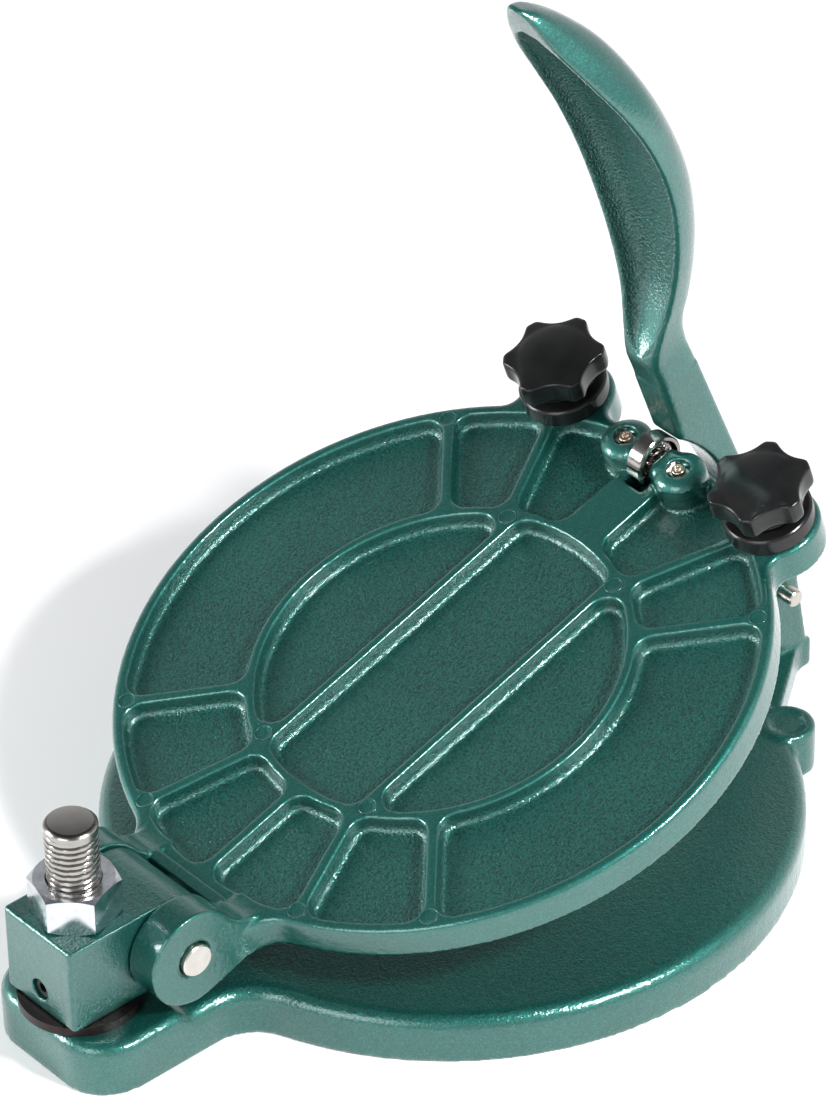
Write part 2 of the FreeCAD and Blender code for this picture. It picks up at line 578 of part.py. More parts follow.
def build_roller():
    def ring(label, inner, outer, groove_at):
        body = turned(label, [
            (inner, -S.roller_half), (outer, -S.roller_half), (outer, S.roller_half),
            (inner, S.roller_half)])
        groove = body.newObject("PartDesign::Groove", label + "_race")
        sketch = sketch_on(body, "XZ_Plane", label + "_race_profile")
        circle(sketch, groove_at, ZERO, S.ball_radius + S.play)
        groove.Profile = sketch
        groove.ReferenceAxis = (sketch, ["V_Axis"])
        groove.Angle = 360
        body.Tip = groove
        return turned_about_y(body, ROLLER_X, 0, ROLLER_Z)

    pitch = (S.race_inner + S.race_outer) / 2
    ring("bearing_inner_ring", S.bore_radius + S.play, S.race_inner, pitch)
    ring("bearing_outer_ring", S.race_outer, S.roller_radius, pitch)

    count = int(float(S.ball_count))
    places = [Vector(float(pitch), 0, 0)] * count
    balls = []
    for k, place in enumerate(places):
        ball = Part.makeSphere(float(S.ball_radius), place)
        ball.rotate(Vector(), AXIS_Z, 360.0 * k / count)
        balls.append(ball)
    group = doc.addObject("Part::Feature", "bearing_balls")
    group.Shape = Part.makeCompound(balls)
    turned_about_y(group, ROLLER_X, 0, ROLLER_Z)

    half = S.cage_thickness / 2
    band = cylinder(pitch + half / 2, -S.ball_radius, S.ball_radius)
    band = band.cut(cylinder(pitch - half / 2, -10, 10))
    seats = [Part.makeSphere(float(S.ball_radius + S.play * 2), ball.CenterOfMass) for ball in balls]
    cage = doc.addObject("Part::Feature", "bearing_cage")
    cage.Shape = band.cut(seats)
    turned_about_y(cage, ROLLER_X, 0, ROLLER_Z)

    half = S.slot_half - S.roller_half
    for side, sign in (("near", -1), ("far", 1)):
        washer = turned("roller_washer_" + side, [
            (S.bore_radius + S.play, ZERO), (S.race_inner, ZERO), (S.race_inner, half),
            (S.bore_radius + S.play, half)])
        low = S.roller_half if sign > 0 else -S.slot_half
        turned_about_y(washer, ROLLER_X, low, ROLLER_Z)

    axle = bar(S.bore_radius, -S.axle_half, S.axle_half, ROLLER_X, ROLLER_Z)
    screws = []
    for sign in (-1, 1):
        y = S.boss_centre * sign
        flat = block(ROLLER_X - S.race_inner, ROLLER_X + S.race_inner,
                     *sorted((float(S.boss_centre - S.counterbore) * sign, float(S.axle_half + 1) * sign)),
                     ROLLER_Z + S.axle_flat, ROLLER_Z + 10)
        hole = cylinder(S.screw_radius + S.play, ROLLER_Z - 10, ROLLER_Z + 10, ROLLER_X, y)
        axle = axle.cut([flat, hole])
        seat = ROLLER_Z + S.axle_flat
        head = cylinder(S.screw_head, seat, seat + S.screw_head_height, ROLLER_X, y)
        head = head.makeFillet(float(S.screw_head_height) * 0.4, flat_edges(head, seat + S.screw_head_height))
        shank = cylinder(S.screw_radius, ROLLER_Z - S.screw_length + 1, seat, ROLLER_X, y)
        drive = S.screw_radius * 0.35
        cross = [block(ROLLER_X - a, ROLLER_X + a, y - b, y + b, seat + 1, seat + 5)
                 for a, b in ((S.screw_radius, drive), (drive, S.screw_radius))]
        screws.append(joined(head, shank).cut(cross))
    feature("roller_axle", axle, tilted=True)
    group = doc.addObject("Part::Feature", "axle_screws")
    group.Shape = Part.makeCompound(screws)
    at_rest(group, tilted=True)


# ---------------------------------------------------------------- adjusters

def star_knob(label):
    top = S.knob_height
    edge = S.knob_radius
    bore = S.adjuster_radius + S.play
    body = turned(label, [
        (ZERO, S.knob_bore + S.clearance), (bore, S.knob_bore + S.clearance), (bore, S.insert_height),
        (S.insert_radius + S.play, S.insert_height), (S.insert_radius + S.play, ZERO),
        (edge - S.clearance * 5, ZERO), (edge, S.clearance * 3), (edge, top - S.knob_dome * 1.6),
        (edge - S.knob_dome, top - S.knob_dome * 0.6), (edge * 0.62, top - S.knob_dome * 0.15),
        (edge * 0.3, top), (ZERO, top)])
    sketch = sketch_on(body, "XY_Plane", label + "_scallop")
    circle(sketch, S.scallop_pitch, ZERO, S.scallop_radius)
    cut = pocket(body, label + "_scallop_cut", sketch, top * 2, reverse=True)
    cut.Midplane = True
    spread = body.newObject("PartDesign::PolarPattern", label + "_lobes")
    spread.Originals = [cut]
    spread.Axis = (origin_part(body, "Z_Axis"), [""])
    spread.Angle = 360
    spread.Occurrences = int(float(S.lobe_count))
    body.Tip = spread
    return body


def build_adjusters():
    for side, sign in (("near", -1), ("far", 1)):
        y = S.tab_y * sign
        collar_top = PLATE_TOP + S.collar_height
        knob_low = collar_top + S.knob_gap
        bore = S.adjuster_radius + S.clearance / 2
        collar = turned("lock_collar_" + side, [
            (bore, PLATE_TOP), (S.collar_radius, PLATE_TOP), (S.collar_radius, collar_top - S.clearance * 2),
            (S.collar_radius - S.clearance * 2, collar_top), (bore, collar_top)])
        tip = S.adjuster_tip - S.hinge_height
        radius = S.adjuster_radius
        stud_top = knob_low + S.knob_bore
        stud = turned("adjuster_stud_" + side, [
            (ZERO, tip), (radius - S.stud_chamfer, tip), (radius, tip + S.stud_chamfer),
            (radius, stud_top), (ZERO, stud_top)])
        insert_top = knob_low + S.insert_height
        insert = turned("knob_insert_" + side, [
            (radius + S.play, knob_low), (S.insert_radius, knob_low), (S.insert_radius, insert_top),
            (radius + S.play, insert_top)])
        knob = star_knob("adjuster_knob_" + side)
        for body, rise in ((collar, ZERO), (stud, ZERO), (insert, ZERO), (knob, knob_low)):
            tilt = FreeCAD.Rotation(-AXIS_Y, float(S.open_angle))
            at = HINGE + tilt.multVec(Vector(float(TAB_X), float(y), float(rise)))
            body.Placement = FreeCAD.Placement(at, tilt)


# ---------------------------------------------------------------- lever

def roller_in_lever(share):
    """Where the roller's axis is, along and ahead of the lever, when the plate has closed by a share."""
    opened = float(S.open_angle)
    plate = math.radians(opened * (1 - share))
    x = HINGE.x + float(ROLLER_X) * math.cos(plate) - float(ROLLER_Z) * math.sin(plate)
    z = HINGE.z + float(ROLLER_X) * math.sin(plate) + float(ROLLER_Z) * math.cos(plate)
    turn = math.radians(LEVER_ANGLE + float(S.lever_ratio) * opened * share)
    dx, dz = x - PIVOT.x, z - PIVOT.z
    return dx * math.cos(turn) + dz * math.sin(turn), dz * math.cos(turn) - dx * math.sin(turn)


def cam_points(count=12, step=1e-3):
    """The cam face: the roller's path, moved towards the arm by the roller's radius."""
    reach = float(S.roller_radius + S.cam_clearance)
    face = []
    for k in range(count + 1):
        a, b = roller_in_lever(k / count)
        a2, b2 = roller_in_lever(k / count + step)
        length = math.hypot(a2 - a, b2 - b)
        face.append(Vector(a - reach * (b2 - b) / length, b + reach * (a2 - a) / length, 0))
    return face


def eye_tangent(point, side):
    """Where a line from a point touches the pivot eye."""
    eye = float(S.pivot_eye)
    turn = math.atan2(point.y, point.x) + side * math.acos(eye / point.Length)
    return Vector(eye * math.cos(turn), eye * math.sin(turn), 0)


def arm_solid():
    """The arm, lying flat: X along it and Y ahead of it, from its pivot."""
    half, front = float(S.lever_half), float(S.arm_front)
    face = cam_points()
    curve = Part.BSplineCurve()
    curve.interpolate(face)
    top = float(S.arm_top)
    back = Vector(float(S.arm_middle), -float(S.arm_back), 0)
    corners = [face[-1], eye_tangent(face[-1], 1), Vector(), eye_tangent(back, -1), back,
               Vector(top, -float(S.arm_back_top), 0), Vector(top, front, 0), face[0]]
    edges = [curve.toShape()] + [Part.makeLine(a, b) for a, b in zip(corners, corners[1:])]
    profile = merged(Part.Face(Part.Wire(Part.__sortEdges__(edges))), disc_face(S.pivot_eye))
    arm = profile.extrude(Vector(0, 0, 2 * half))
    arm.translate(Vector(0, 0, -half))
    toe = [e for e in arm.Edges if e.BoundBox.ZLength > half and (e.CenterOfMass - face[-1]).Length < 1]
    arm = arm.makeFillet(float(S.toe_rounding), toe)
    sides = flat_edges(arm, half) + flat_edges(arm, -half)
    return arm.makeFillet(float(S.arm_rounding), sides)


def handle_section(along, rim, back, width, shoulder, roundness):
    """A closed curve across the handle: a nearly flat rim over a rounded back."""
    points = []
    for k in range(24):
        turn = 2 * math.pi * k / 24
        across, ahead = math.cos(turn), math.sin(turn)
        power = 0.25 if ahead > 0 else roundness
        depth = shoulder if ahead > 0 else rim - shoulder - back
        points.append(Vector(along, rim - shoulder + math.copysign(abs(ahead) ** power, ahead) * depth,
                             math.copysign(abs(across) ** power, across) * width / 2))
    curve = Part.BSplineCurve()
    curve.interpolate(Points=points, PeriodicFlag=True)
    return Part.Wire(curve.toShape())


def lever():
    start, length = float(S.arm_top), float(S.handle_length)
    outer = [handle_section(start + share * length, *rest) for share, *rest in HANDLE]
    hollow = []
    for share, rim, width, depth in HOLLOW:
        mouth = rim + 2 * depth
        hollow.append(handle_section(start + share * length, mouth, rim - depth, width, mouth - rim, 0.85))
    body = joined(arm_solid(), Part.makeLoft(outer, True, False)).cut(Part.makeLoft(hollow, True, False))
    return body.cut(cylinder(S.pin_radius + S.play, -20, 20))


def build_lever():
    obj = feature("lever", lever())
    upright = FreeCAD.Rotation(AXIS_X, 90)
    obj.Placement = FreeCAD.Placement(PIVOT, FreeCAD.Rotation(-AXIS_Y, LEVER_ANGLE).multiply(upright))
    bind(obj, **{".Placement.Base.x": S.pivot_x, ".Placement.Base.z": S.pivot_height})
    far = CHEEK_OUTER + S.clearance * 3
    radius = S.pin_radius
    pin = turned("lever_pin", [
        (ZERO, -S.pin_near), (radius - S.clearance, -S.pin_near), (radius, S.clearance - S.pin_near),
        (radius, far - S.clearance), (radius - S.clearance, far), (ZERO, far)])
    pin.Placement = FreeCAD.Placement(PIVOT, FreeCAD.Rotation(AXIS_X, -90))


# ---------------------------------------------------------------- build

PARTS = [
    "base_plate", "spacer_washer", "hinge_stud", "hinge_nut", "hinge_block", "block_set_screw",
    "hinge_pin", "top_plate", "roller_axle", "axle_screws", "roller_washer_near",
    "roller_washer_far", "bearing_inner_ring", "bearing_outer_ring", "bearing_balls",
    "bearing_cage", "lock_collar_near", "lock_collar_far", "adjuster_stud_near",
    "adjuster_stud_far", "adjuster_knob_near", "adjuster_knob_far", "knob_insert_near",
    "knob_insert_far", "lever", "lever_pin",
]


def check_document():
    for obj in doc.Objects:
        if "Invalid" in obj.State or "Error" in obj.State:
            raise RuntimeError("%s did not recompute: %s" % (obj.Label, obj.State))


def write_parts():
    os.makedirs("parts", exist_ok=True)
    for name in PARTS:
        shape = doc.getObjectsByLabel(name)[0].Shape
        if shape.isNull() or not shape.isValid() or not shape.Solids:
            raise RuntimeError("%s has no sound shape" % name)
        shape.exportStep("parts/%s.step" % name)
        print("%-22s %d solid(s) %10.1f mm3" % (name, len(shape.Solids), shape.Volume))


feature("base_plate", base_plate())
feature("top_plate", top_plate(), tilted=True)
build_hinge_column()
build_roller()
build_adjusters()
build_lever()
doc.recompute()
check_document()
write_parts()
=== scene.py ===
import json
import math

import bmesh
import bpy
from mathutils import Matrix, Vector

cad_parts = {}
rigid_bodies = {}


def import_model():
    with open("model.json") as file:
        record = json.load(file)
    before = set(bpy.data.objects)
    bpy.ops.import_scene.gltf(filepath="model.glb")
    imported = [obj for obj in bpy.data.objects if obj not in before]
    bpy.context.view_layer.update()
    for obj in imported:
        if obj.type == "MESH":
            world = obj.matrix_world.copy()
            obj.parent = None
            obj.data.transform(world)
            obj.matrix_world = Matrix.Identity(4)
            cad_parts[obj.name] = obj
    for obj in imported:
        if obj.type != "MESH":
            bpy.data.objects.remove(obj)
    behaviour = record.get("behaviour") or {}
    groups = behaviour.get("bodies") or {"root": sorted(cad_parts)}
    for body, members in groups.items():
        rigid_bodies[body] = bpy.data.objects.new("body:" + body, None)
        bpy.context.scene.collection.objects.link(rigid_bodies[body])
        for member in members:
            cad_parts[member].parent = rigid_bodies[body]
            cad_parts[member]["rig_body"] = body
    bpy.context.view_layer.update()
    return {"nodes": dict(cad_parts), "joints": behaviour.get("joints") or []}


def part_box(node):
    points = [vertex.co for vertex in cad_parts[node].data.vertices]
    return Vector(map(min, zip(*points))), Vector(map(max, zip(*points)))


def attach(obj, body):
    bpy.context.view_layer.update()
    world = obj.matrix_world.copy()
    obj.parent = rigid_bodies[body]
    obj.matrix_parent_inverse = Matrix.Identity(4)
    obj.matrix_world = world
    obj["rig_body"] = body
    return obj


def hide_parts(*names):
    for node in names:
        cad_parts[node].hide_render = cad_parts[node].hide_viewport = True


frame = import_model()

# Named lengths are in mm, unless a comment says metres. MM turns them into the frame's metres.
MM = 0.001
NODES = frame["nodes"]
JOINTS = {joint["name"]: joint for joint in frame["joints"]}

AXIS_Y, AXIS_Z = Vector((0, 1, 0)), Vector((0, 0, 1))
SIDES = {"near": -1, "far": 1}

# The top plate's own frame: its hinge axis, and its directions along and out of the plate.
HINGE = Vector(JOINTS["plate_hinge"]["pos_m"])
PLATE_UP = Vector(JOINTS["adjuster_slide_near"]["axis"]).normalized()
PLATE_ALONG = AXIS_Y.cross(PLATE_UP).normalized()
PLATE_TOP, PLATE_THICKNESS, PLATE_RADIUS, PLATE_CENTRE = -5.6, 14.0, 127.0, 152.9

# The lever's own frame: its pivot, and its directions along the arm and ahead of it.
PIVOT = Vector(JOINTS["lever_hinge"]["pos_m"])
LEVER_LEAN = math.radians(20)
LEVER_ALONG = Vector((-math.sin(LEVER_LEAN), 0, math.cos(LEVER_LEAN)))
LEVER_AHEAD = Vector((-math.cos(LEVER_LEAN), 0, -math.sin(LEVER_LEAN)))


def on_plate(along, across, up):
    """A point of the plate, in mm from the hinge axis, in the frame's metres."""
    return HINGE + (PLATE_ALONG * along + AXIS_Y * across + PLATE_UP * up) * MM


def in_plate(point):
    """Where a point lies along, across and out of the plate, in mm from the hinge axis."""
    from_hinge = (point - HINGE) / MM
    return from_hinge.dot(PLATE_ALONG), from_hinge.y, from_hinge.dot(PLATE_UP)


def on_lever(along, across, ahead):
    """A point of the lever, in mm from its pivot, in the frame's metres."""
    return PIVOT + (LEVER_ALONG * along + AXIS_Y * across + LEVER_AHEAD * ahead) * MM


def in_lever(point):
    """Where a point lies along, across and ahead of the lever's arm, in mm from its pivot."""
    from_pivot = (point - PIVOT) / MM
    return from_pivot.dot(LEVER_ALONG), from_pivot.y, from_pivot.dot(LEVER_AHEAD)


def held(value, low, high, start=0.0, end=1.0):
    """A value carried from low..high to start..end, held at both ends."""
    share = min(1.0, max(0.0, (value - low) / (high - low)))
    return start + (end - start) * share


def around(steps):
    """Angles spread evenly over one turn."""
    return [2 * math.pi * k / steps for k in range(steps)]


# ---------------------------------------------------------------- shader nodes

def add(tree, kind, inputs=None, **settings):
    """A shader node. Inputs are numbers, colours or the sockets of other nodes."""
    node = tree.nodes.new("ShaderNode" + kind)
    for name, value in settings.items():
        setattr(node, name, value)
    for name, value in (inputs or {}).items():
        if isinstance(value, bpy.types.NodeSocket):
            tree.links.new(value, node.inputs[name])
        else:
            node.inputs[name].default_value = value
    return node


def new_material(name, **values):
    """A material with its shader's plain sockets set, such as Coat_Weight."""
    made = bpy.data.materials.new(name)
    made.use_nodes = True
    shader = made.node_tree.nodes["Principled BSDF"]
    for socket, value in values.items():
        shader.inputs[socket.replace("_", " ")].default_value = value
    return made, made.node_tree, shader


def feed(tree, shader, **sources):
    """Link other nodes' sockets to a shader's, named such as Base_Color."""
    for socket, source in sources.items():
        tree.links.new(source, shader.inputs[socket.replace("_", " ")])


def place(tree):
    """A point's place in its piece, in metres, the same as its place in the frame at rest."""
    return add(tree, "TexCoord").outputs["Object"]


def noise(tree, where, scale, detail=2.0, roughness=0.5, distortion=0.0):
    """Fractal noise between 0 and 1, its scale in cells to the metre."""
    node = add(tree, "TexNoise", {"Vector": where, "Scale": scale, "Detail": detail,
                                  "Roughness": roughness, "Distortion": distortion})
    return node.outputs["Fac"]


def ramp(tree, value, low, high, start=0.0, end=1.0):
    """A value carried from low..high to start..end, held at both ends."""
    node = add(tree, "MapRange", {"Value": value, "From Min": low, "From Max": high,
                                  "To Min": start, "To Max": end})
    return node.outputs["Result"]


def compute(tree, operation, first, second=0.0):
    """What a Math node makes of one or two values."""
    return add(tree, "Math", {0: first, 1: second}, operation=operation).outputs[0]


def along_axis(tree, where, centre, axis):
    """How far a point lies from a centre along an axis."""
    offset = add(tree, "VectorMath", {0: where, 1: tuple(centre)}, operation="SUBTRACT").outputs[0]
    return add(tree, "VectorMath", {0: offset, 1: tuple(axis)}, operation="DOT_PRODUCT").outputs["Value"]


def off_axis(tree, where, centre, axis):
    """How far a point lies from the line through a centre along an axis."""
    offset = add(tree, "VectorMath", {0: where, 1: tuple(centre)}, operation="SUBTRACT").outputs[0]
    height = along_axis(tree, where, centre, axis)
    foot = add(tree, "VectorMath", {0: tuple(axis), "Scale": height}, operation="SCALE").outputs[0]
    return add(tree, "VectorMath", {0: offset, 1: foot}, operation="DISTANCE").outputs["Value"]


def facing(tree, axis):
    """How far the surface faces along an axis, from -1 to 1."""
    return along_axis(tree, add(tree, "TexCoord").outputs["Normal"], (0, 0, 0), axis)


def blend_colours(tree, factor, first, second):
    """The first colour where the factor is 0, and the second where it is 1."""
    node = add(tree, "Mix", data_type="RGBA")
    tree.links.new(factor, node.inputs["Factor"])
    for socket, value in ((node.inputs[6], first), (node.inputs[7], second)):
        if isinstance(value, bpy.types.NodeSocket):
            tree.links.new(value, socket)
        else:
            socket.default_value = (*value, 1.0)
    return node.outputs[2]


def bump(tree, height, distance, strength, normal=None):
    """The normal of a height from 0 to 1 that stands for a distance in metres."""
    inputs = {"Height": height, "Distance": distance, "Strength": strength}
    if normal:
        inputs["Normal"] = normal
    return add(tree, "Bump", inputs).outputs["Normal"]


# ---------------------------------------------------------------- materials

# The plate's pockets: from which depth to which the mask sets in, and how far in from the edge it ends.
MASK_SETS_IN, MASK_FULL, MASK_INNER, MASK_EDGE = 1.4, 3.6, 5.0, 3.0
# The handle's hollow: how far its walls face the middle, as mm across times the normal across, how
# squarely its floor faces ahead, the floor's half width, and its start along the lever.
WALL_FACING, FLOOR_FACING, FLOOR_HALF, FLOOR_START = (-3.5, -1.0), (0.55, 0.8), (10, 13), (150, 165)


def pocket_mask(tree):
    """1 in the pockets of the plate, 0 on its ribs and its outside."""
    where = place(tree)
    level = along_axis(tree, where, HINGE, PLATE_UP)
    deep = ramp(tree, level, (PLATE_TOP - MASK_FULL) * MM, (PLATE_TOP - MASK_SETS_IN) * MM, 1.0, 0.0)
    reach = off_axis(tree, where, on_plate(PLATE_CENTRE, 0, 0), PLATE_UP)
    inside = ramp(tree, reach, (PLATE_RADIUS - MASK_INNER) * MM, (PLATE_RADIUS - MASK_EDGE) * MM, 1.0, 0.0)
    return compute(tree, "MULTIPLY", deep, inside)


def hollow_mask(tree):
    """1 in the hollow of the handle, 0 on its back and its rim."""
    where = place(tree)
    across = along_axis(tree, where, (0, 0, 0), AXIS_Y)
    across_mm = compute(tree, "MULTIPLY", across, 1 / MM)
    inward = compute(tree, "MULTIPLY", across_mm, facing(tree, AXIS_Y))
    walls = ramp(tree, inward, *WALL_FACING, 1.0, 0.0)
    ahead = ramp(tree, facing(tree, LEVER_AHEAD), *FLOOR_FACING)
    inner, outer = FLOOR_HALF
    middle = ramp(tree, compute(tree, "ABSOLUTE", across), inner * MM, outer * MM, 1.0, 0.0)
    low, high = FLOOR_START
    raised = ramp(tree, along_axis(tree, where, PIVOT, LEVER_ALONG), low * MM, high * MM)
    floor = compute(tree, "MULTIPLY", compute(tree, "MULTIPLY", ahead, middle), raised)
    return compute(tree, "MAXIMUM", walls, floor)


# The enamel's colours: its ground from deep to pale, its flakes, and the shade low in its peel.
GROUND_DEEP, GROUND_PALE = (0.0065, 0.092, 0.079), (0.0085, 0.112, 0.093)
FLAKE_GREEN, PEEL_SHADE = (0.022, 0.22, 0.178), (0.002, 0.032, 0.026)
# Cells to the metre of its clouds, its flakes, its orange peel and the broad peel under that.
CLOUD_SCALE, FLAKE_SCALE, PEEL_SCALE, BROAD_SCALE = 22, 3300.0, 1000, 420
# Metres of height of the peel, the peel in the handle's hollow, the broad peel and a flake's tilt.
PEEL_DEPTH, HOLLOW_PEEL_DEPTH, BROAD_DEPTH, FLAKE_DEPTH = 0.00040, 0.00075, 0.00022, 0.00005
# The peel's strength on a casting without a mask, outside a mask and in it.
PEEL_PLAIN, PEEL_OUTSIDE, PEEL_POOLED = 0.45, 0.2, 1.0
# Ramps: which flakes shine and how much, and how much of the peel's height is in shade.
FLAKE_SHINE, PEEL_SHADOW = (0.70, 1.0, 0.0, 0.75), (0.36, 0.54, 0.75, 0.0)
FLAKE_ROUGHNESS = 0.34, 0.46


def green_enamel(name, coarse=None, depth=PEEL_DEPTH):
    """Metallic hammertone enamel on a casting: fine flakes under a clear coat with an orange peel,
    which is stronger where the enamel pools, given by a mask and the depth of its peel there."""
    made, tree, shader = new_material(name, Metallic=0.72, Coat_Weight=1.0, Coat_Roughness=0.05,
                                      Coat_IOR=1.62, Specular_IOR_Level=0.4)
    where = place(tree)
    clouds = ramp(tree, noise(tree, where, CLOUD_SCALE, 3.0), 0.35, 0.65)
    ground = blend_colours(tree, clouds, GROUND_DEEP, GROUND_PALE)
    cells = add(tree, "TexVoronoi", {"Vector": where, "Scale": FLAKE_SCALE, "Randomness": 1.0})
    flake = add(tree, "SeparateColor", {"Color": cells.outputs["Color"]})
    bright = ramp(tree, flake.outputs["Red"], *FLAKE_SHINE)
    speckled = blend_colours(tree, bright, ground, FLAKE_GREEN)
    peel = noise(tree, where, PEEL_SCALE, 2.5, 0.55, 0.3)
    strength = ramp(tree, coarse(tree), 0.0, 1.0, PEEL_OUTSIDE, PEEL_POOLED) if coarse else PEEL_PLAIN
    shade = compute(tree, "MULTIPLY", ramp(tree, peel, *PEEL_SHADOW), strength)
    broad_peel = bump(tree, noise(tree, where, BROAD_SCALE, 2.0, 0.5), BROAD_DEPTH, 0.6)
    coat = bump(tree, peel, depth, strength, broad_peel)
    feed(tree, shader, Base_Color=blend_colours(tree, shade, speckled, PEEL_SHADE),
         Roughness=ramp(tree, flake.outputs["Green"], 0.0, 1.0, *FLAKE_ROUGHNESS),
         Normal=bump(tree, flake.outputs["Blue"], FLAKE_DEPTH, 0.5, coat), Coat_Normal=coat)
    return made


# Cells to the metre of each metal's clouds and of its fine grain, and the grain's height in metres.
STEEL_CLOUDS, STEEL_GRAIN, STEEL_DEPTH = 160, 5200, 0.00002
PLATED_CLOUDS, PLATED_GRAIN, PLATED_DEPTH = 240, 1500, 0.00001
DARK_CLOUDS, DARK_GRAIN, DARK_DEPTH = 300, 1800, 0.00003
# How much paler or dimmer the clouds are than the metal's colour.
STEEL_PALER, PLATED_DIMMER, DARK_PALER = 1.15, 0.8, 1.9
# Painted shade down in a thread's grooves: its colour and its share, how far inside the crest it is full
# and where it ends, and how squarely a face has to face along the axis to stay unshaded.
GROOVE_SHADE, GROOVE_SHADE_SHARE = (0.06, 0.05, 0.045), 0.85
GROOVE_SHADE_FULL, GROOVE_SHADE_ENDS, END_FACING = 1.0, 0.15, (0.9, 0.97)


def turned_steel(name, colour, roughness, along, centre, crest=0.0):
    """Bright metal with fine lines left by the lathe, round an axis through a centre, and painted shade
    in the grooves of a thread, inside its crest, given by its radius in mm."""
    made, tree, shader = new_material(name, Metallic=1.0)
    where = place(tree)
    reach = off_axis(tree, where, centre, along)
    height = along_axis(tree, where, centre, along)
    lines = add(tree, "CombineXYZ", {"X": reach, "Y": height, "Z": 0.0}).outputs[0]
    grain = noise(tree, lines, STEEL_GRAIN, 2.0, 0.7)
    tint = ramp(tree, noise(tree, where, STEEL_CLOUDS, 2.0), 0.3, 0.7)
    pale = tuple(min(1.0, c * STEEL_PALER) for c in colour)
    tone = blend_colours(tree, tint, colour, pale)
    if crest:
        # Painted shade: the colour darkens down in the thread's grooves, but not on faces square to the
        # axis.
        side = ramp(tree, compute(tree, "ABSOLUTE", facing(tree, along)), *END_FACING, 1.0, 0.0)
        deep = ramp(tree, reach, (crest - GROOVE_SHADE_FULL) * MM, (crest - GROOVE_SHADE_ENDS) * MM, GROOVE_SHADE_SHARE, 0.0)
        tone = blend_colours(tree, compute(tree, "MULTIPLY", side, deep), tone, GROOVE_SHADE)
    feed(tree, shader, Base_Color=tone, Normal=bump(tree, grain, STEEL_DEPTH, 0.8),
         Roughness=ramp(tree, grain, 0.25, 0.75, roughness * 0.7, roughness * 1.35))
    return made


def bright_metal(name, colour, roughness):
    """Plated or ground metal with a faint cloud in its shine."""
    made, tree, shader = new_material(name, Metallic=1.0)
    where = place(tree)
    cloud = noise(tree, where, PLATED_CLOUDS, 4.0, 0.6)
    dim = tuple(c * PLATED_DIMMER for c in colour)
    feed(tree, shader, Base_Color=blend_colours(tree, ramp(tree, cloud, 0.35, 0.65), dim, colour),
         Roughness=ramp(tree, cloud, 0.3, 0.7, roughness * 0.75, roughness * 1.3),
         Normal=bump(tree, noise(tree, where, PLATED_GRAIN, 2.0), PLATED_DEPTH, 0.35))
    return made


def dark_metal(name, colour, roughness):
    """Blackened metal with paler clouds and a fine grain."""
    made, tree, shader = new_material(name, Metallic=0.7, Specular_IOR_Level=0.5)
    where = place(tree)
    cloud = noise(tree, where, DARK_CLOUDS, 4.0)
    paler = tuple(c * DARK_PALER for c in colour)
    feed(tree, shader, Base_Color=blend_colours(tree, ramp(tree, cloud, 0.3, 0.7), colour, paler),
         Roughness=ramp(tree, cloud, 0.3, 0.7, roughness * 0.8, roughness * 1.2),
         Normal=bump(tree, noise(tree, where, DARK_GRAIN, 3.0), DARK_DEPTH, 0.5))
    return made


PLASTIC_DEEP, PLASTIC_PALE = (0.006, 0.006, 0.0065), (0.011, 0.011, 0.011)
# Cells to the metre of the plastic's clouds, of its shine and of its waves, and the waves' height in metres.
PLASTIC_CLOUDS, PLASTIC_SHINE, PLASTIC_WAVES, PLASTIC_DEPTH = 90, 260, 700, 0.00005


def gloss_plastic():
    """Black moulded plastic, glossy, with the faint waviness of moulding."""
    made, tree, shader = new_material("black_gloss_plastic", Metallic=0.0, Specular_IOR_Level=0.36)
    where = place(tree)
    cloud = ramp(tree, noise(tree, where, PLASTIC_CLOUDS, 3.0), 0.3, 0.7)
    feed(tree, shader, Base_Color=blend_colours(tree, cloud, PLASTIC_DEEP, PLASTIC_PALE),
         Roughness=ramp(tree, noise(tree, where, PLASTIC_SHINE, 4.0), 0.3, 0.7, 0.15, 0.24),
         Normal=bump(tree, noise(tree, where, PLASTIC_WAVES, 2.0), PLASTIC_DEPTH, 0.22))
    return made


def paint(obj, finish):
    """Give every face of an object one material."""
    obj.data.materials.clear()
    obj.data.materials.append(finish)
    for face in obj.data.polygons:
        face.material_index = 0


# ---------------------------------------------------------------- meshes

def link(obj):
    """Put a new object in the scene."""
    bpy.context.scene.collection.objects.link(obj)
    return obj


def settled(obj):
    """Turn an object's modifiers into its mesh."""
    shape = bpy.data.meshes.new_from_object(obj.evaluated_get(bpy.context.evaluated_depsgraph_get()))
    obj.modifiers.clear()
    obj.data = shape
    return obj


def smooth(mesh, crease=None):
    """Smooth shading, with a sharp edge wherever two faces turn by more than a crease in degrees."""
    for face in mesh.polygons:
        face.use_smooth = True
    if crease:
        mesh.set_sharp_from_angle(angle=math.radians(crease))


def grid_object(name, rings, crease=None, endless=False):
    """A closed skin through rings of points, each ring closed, with both ends filled or joined."""
    mesh = bpy.data.meshes.new(name)
    build = bmesh.new()
    rows = [[build.verts.new(point) for point in ring] for ring in rings]
    for low, high in zip(rows, rows[1:] + rows[:1] if endless else rows[1:]):
        for k in range(len(low)):
            after = (k + 1) % len(low)
            build.faces.new((low[k], low[after], high[after], high[k]))
    if not endless:
        build.faces.new(rows[0][::-1])
        build.faces.new(rows[-1])
    bmesh.ops.recalc_face_normals(build, faces=build.faces)
    build.to_mesh(mesh)
    build.free()
    smooth(mesh, crease)
    return link(bpy.data.objects.new(name, mesh))


def copy_of(name, node):
    """A new piece that starts as a copy of a node's mesh."""
    return link(bpy.data.objects.new(name, NODES[node].data.copy()))


def cut(piece, tool):
    """Take one closed shape out of another."""
    saw = piece.modifiers.new("cut", "BOOLEAN")
    saw.operation = "DIFFERENCE"
    saw.object = tool
    saw.solver = "EXACT"
    settled(piece)
    bpy.data.objects.remove(tool)


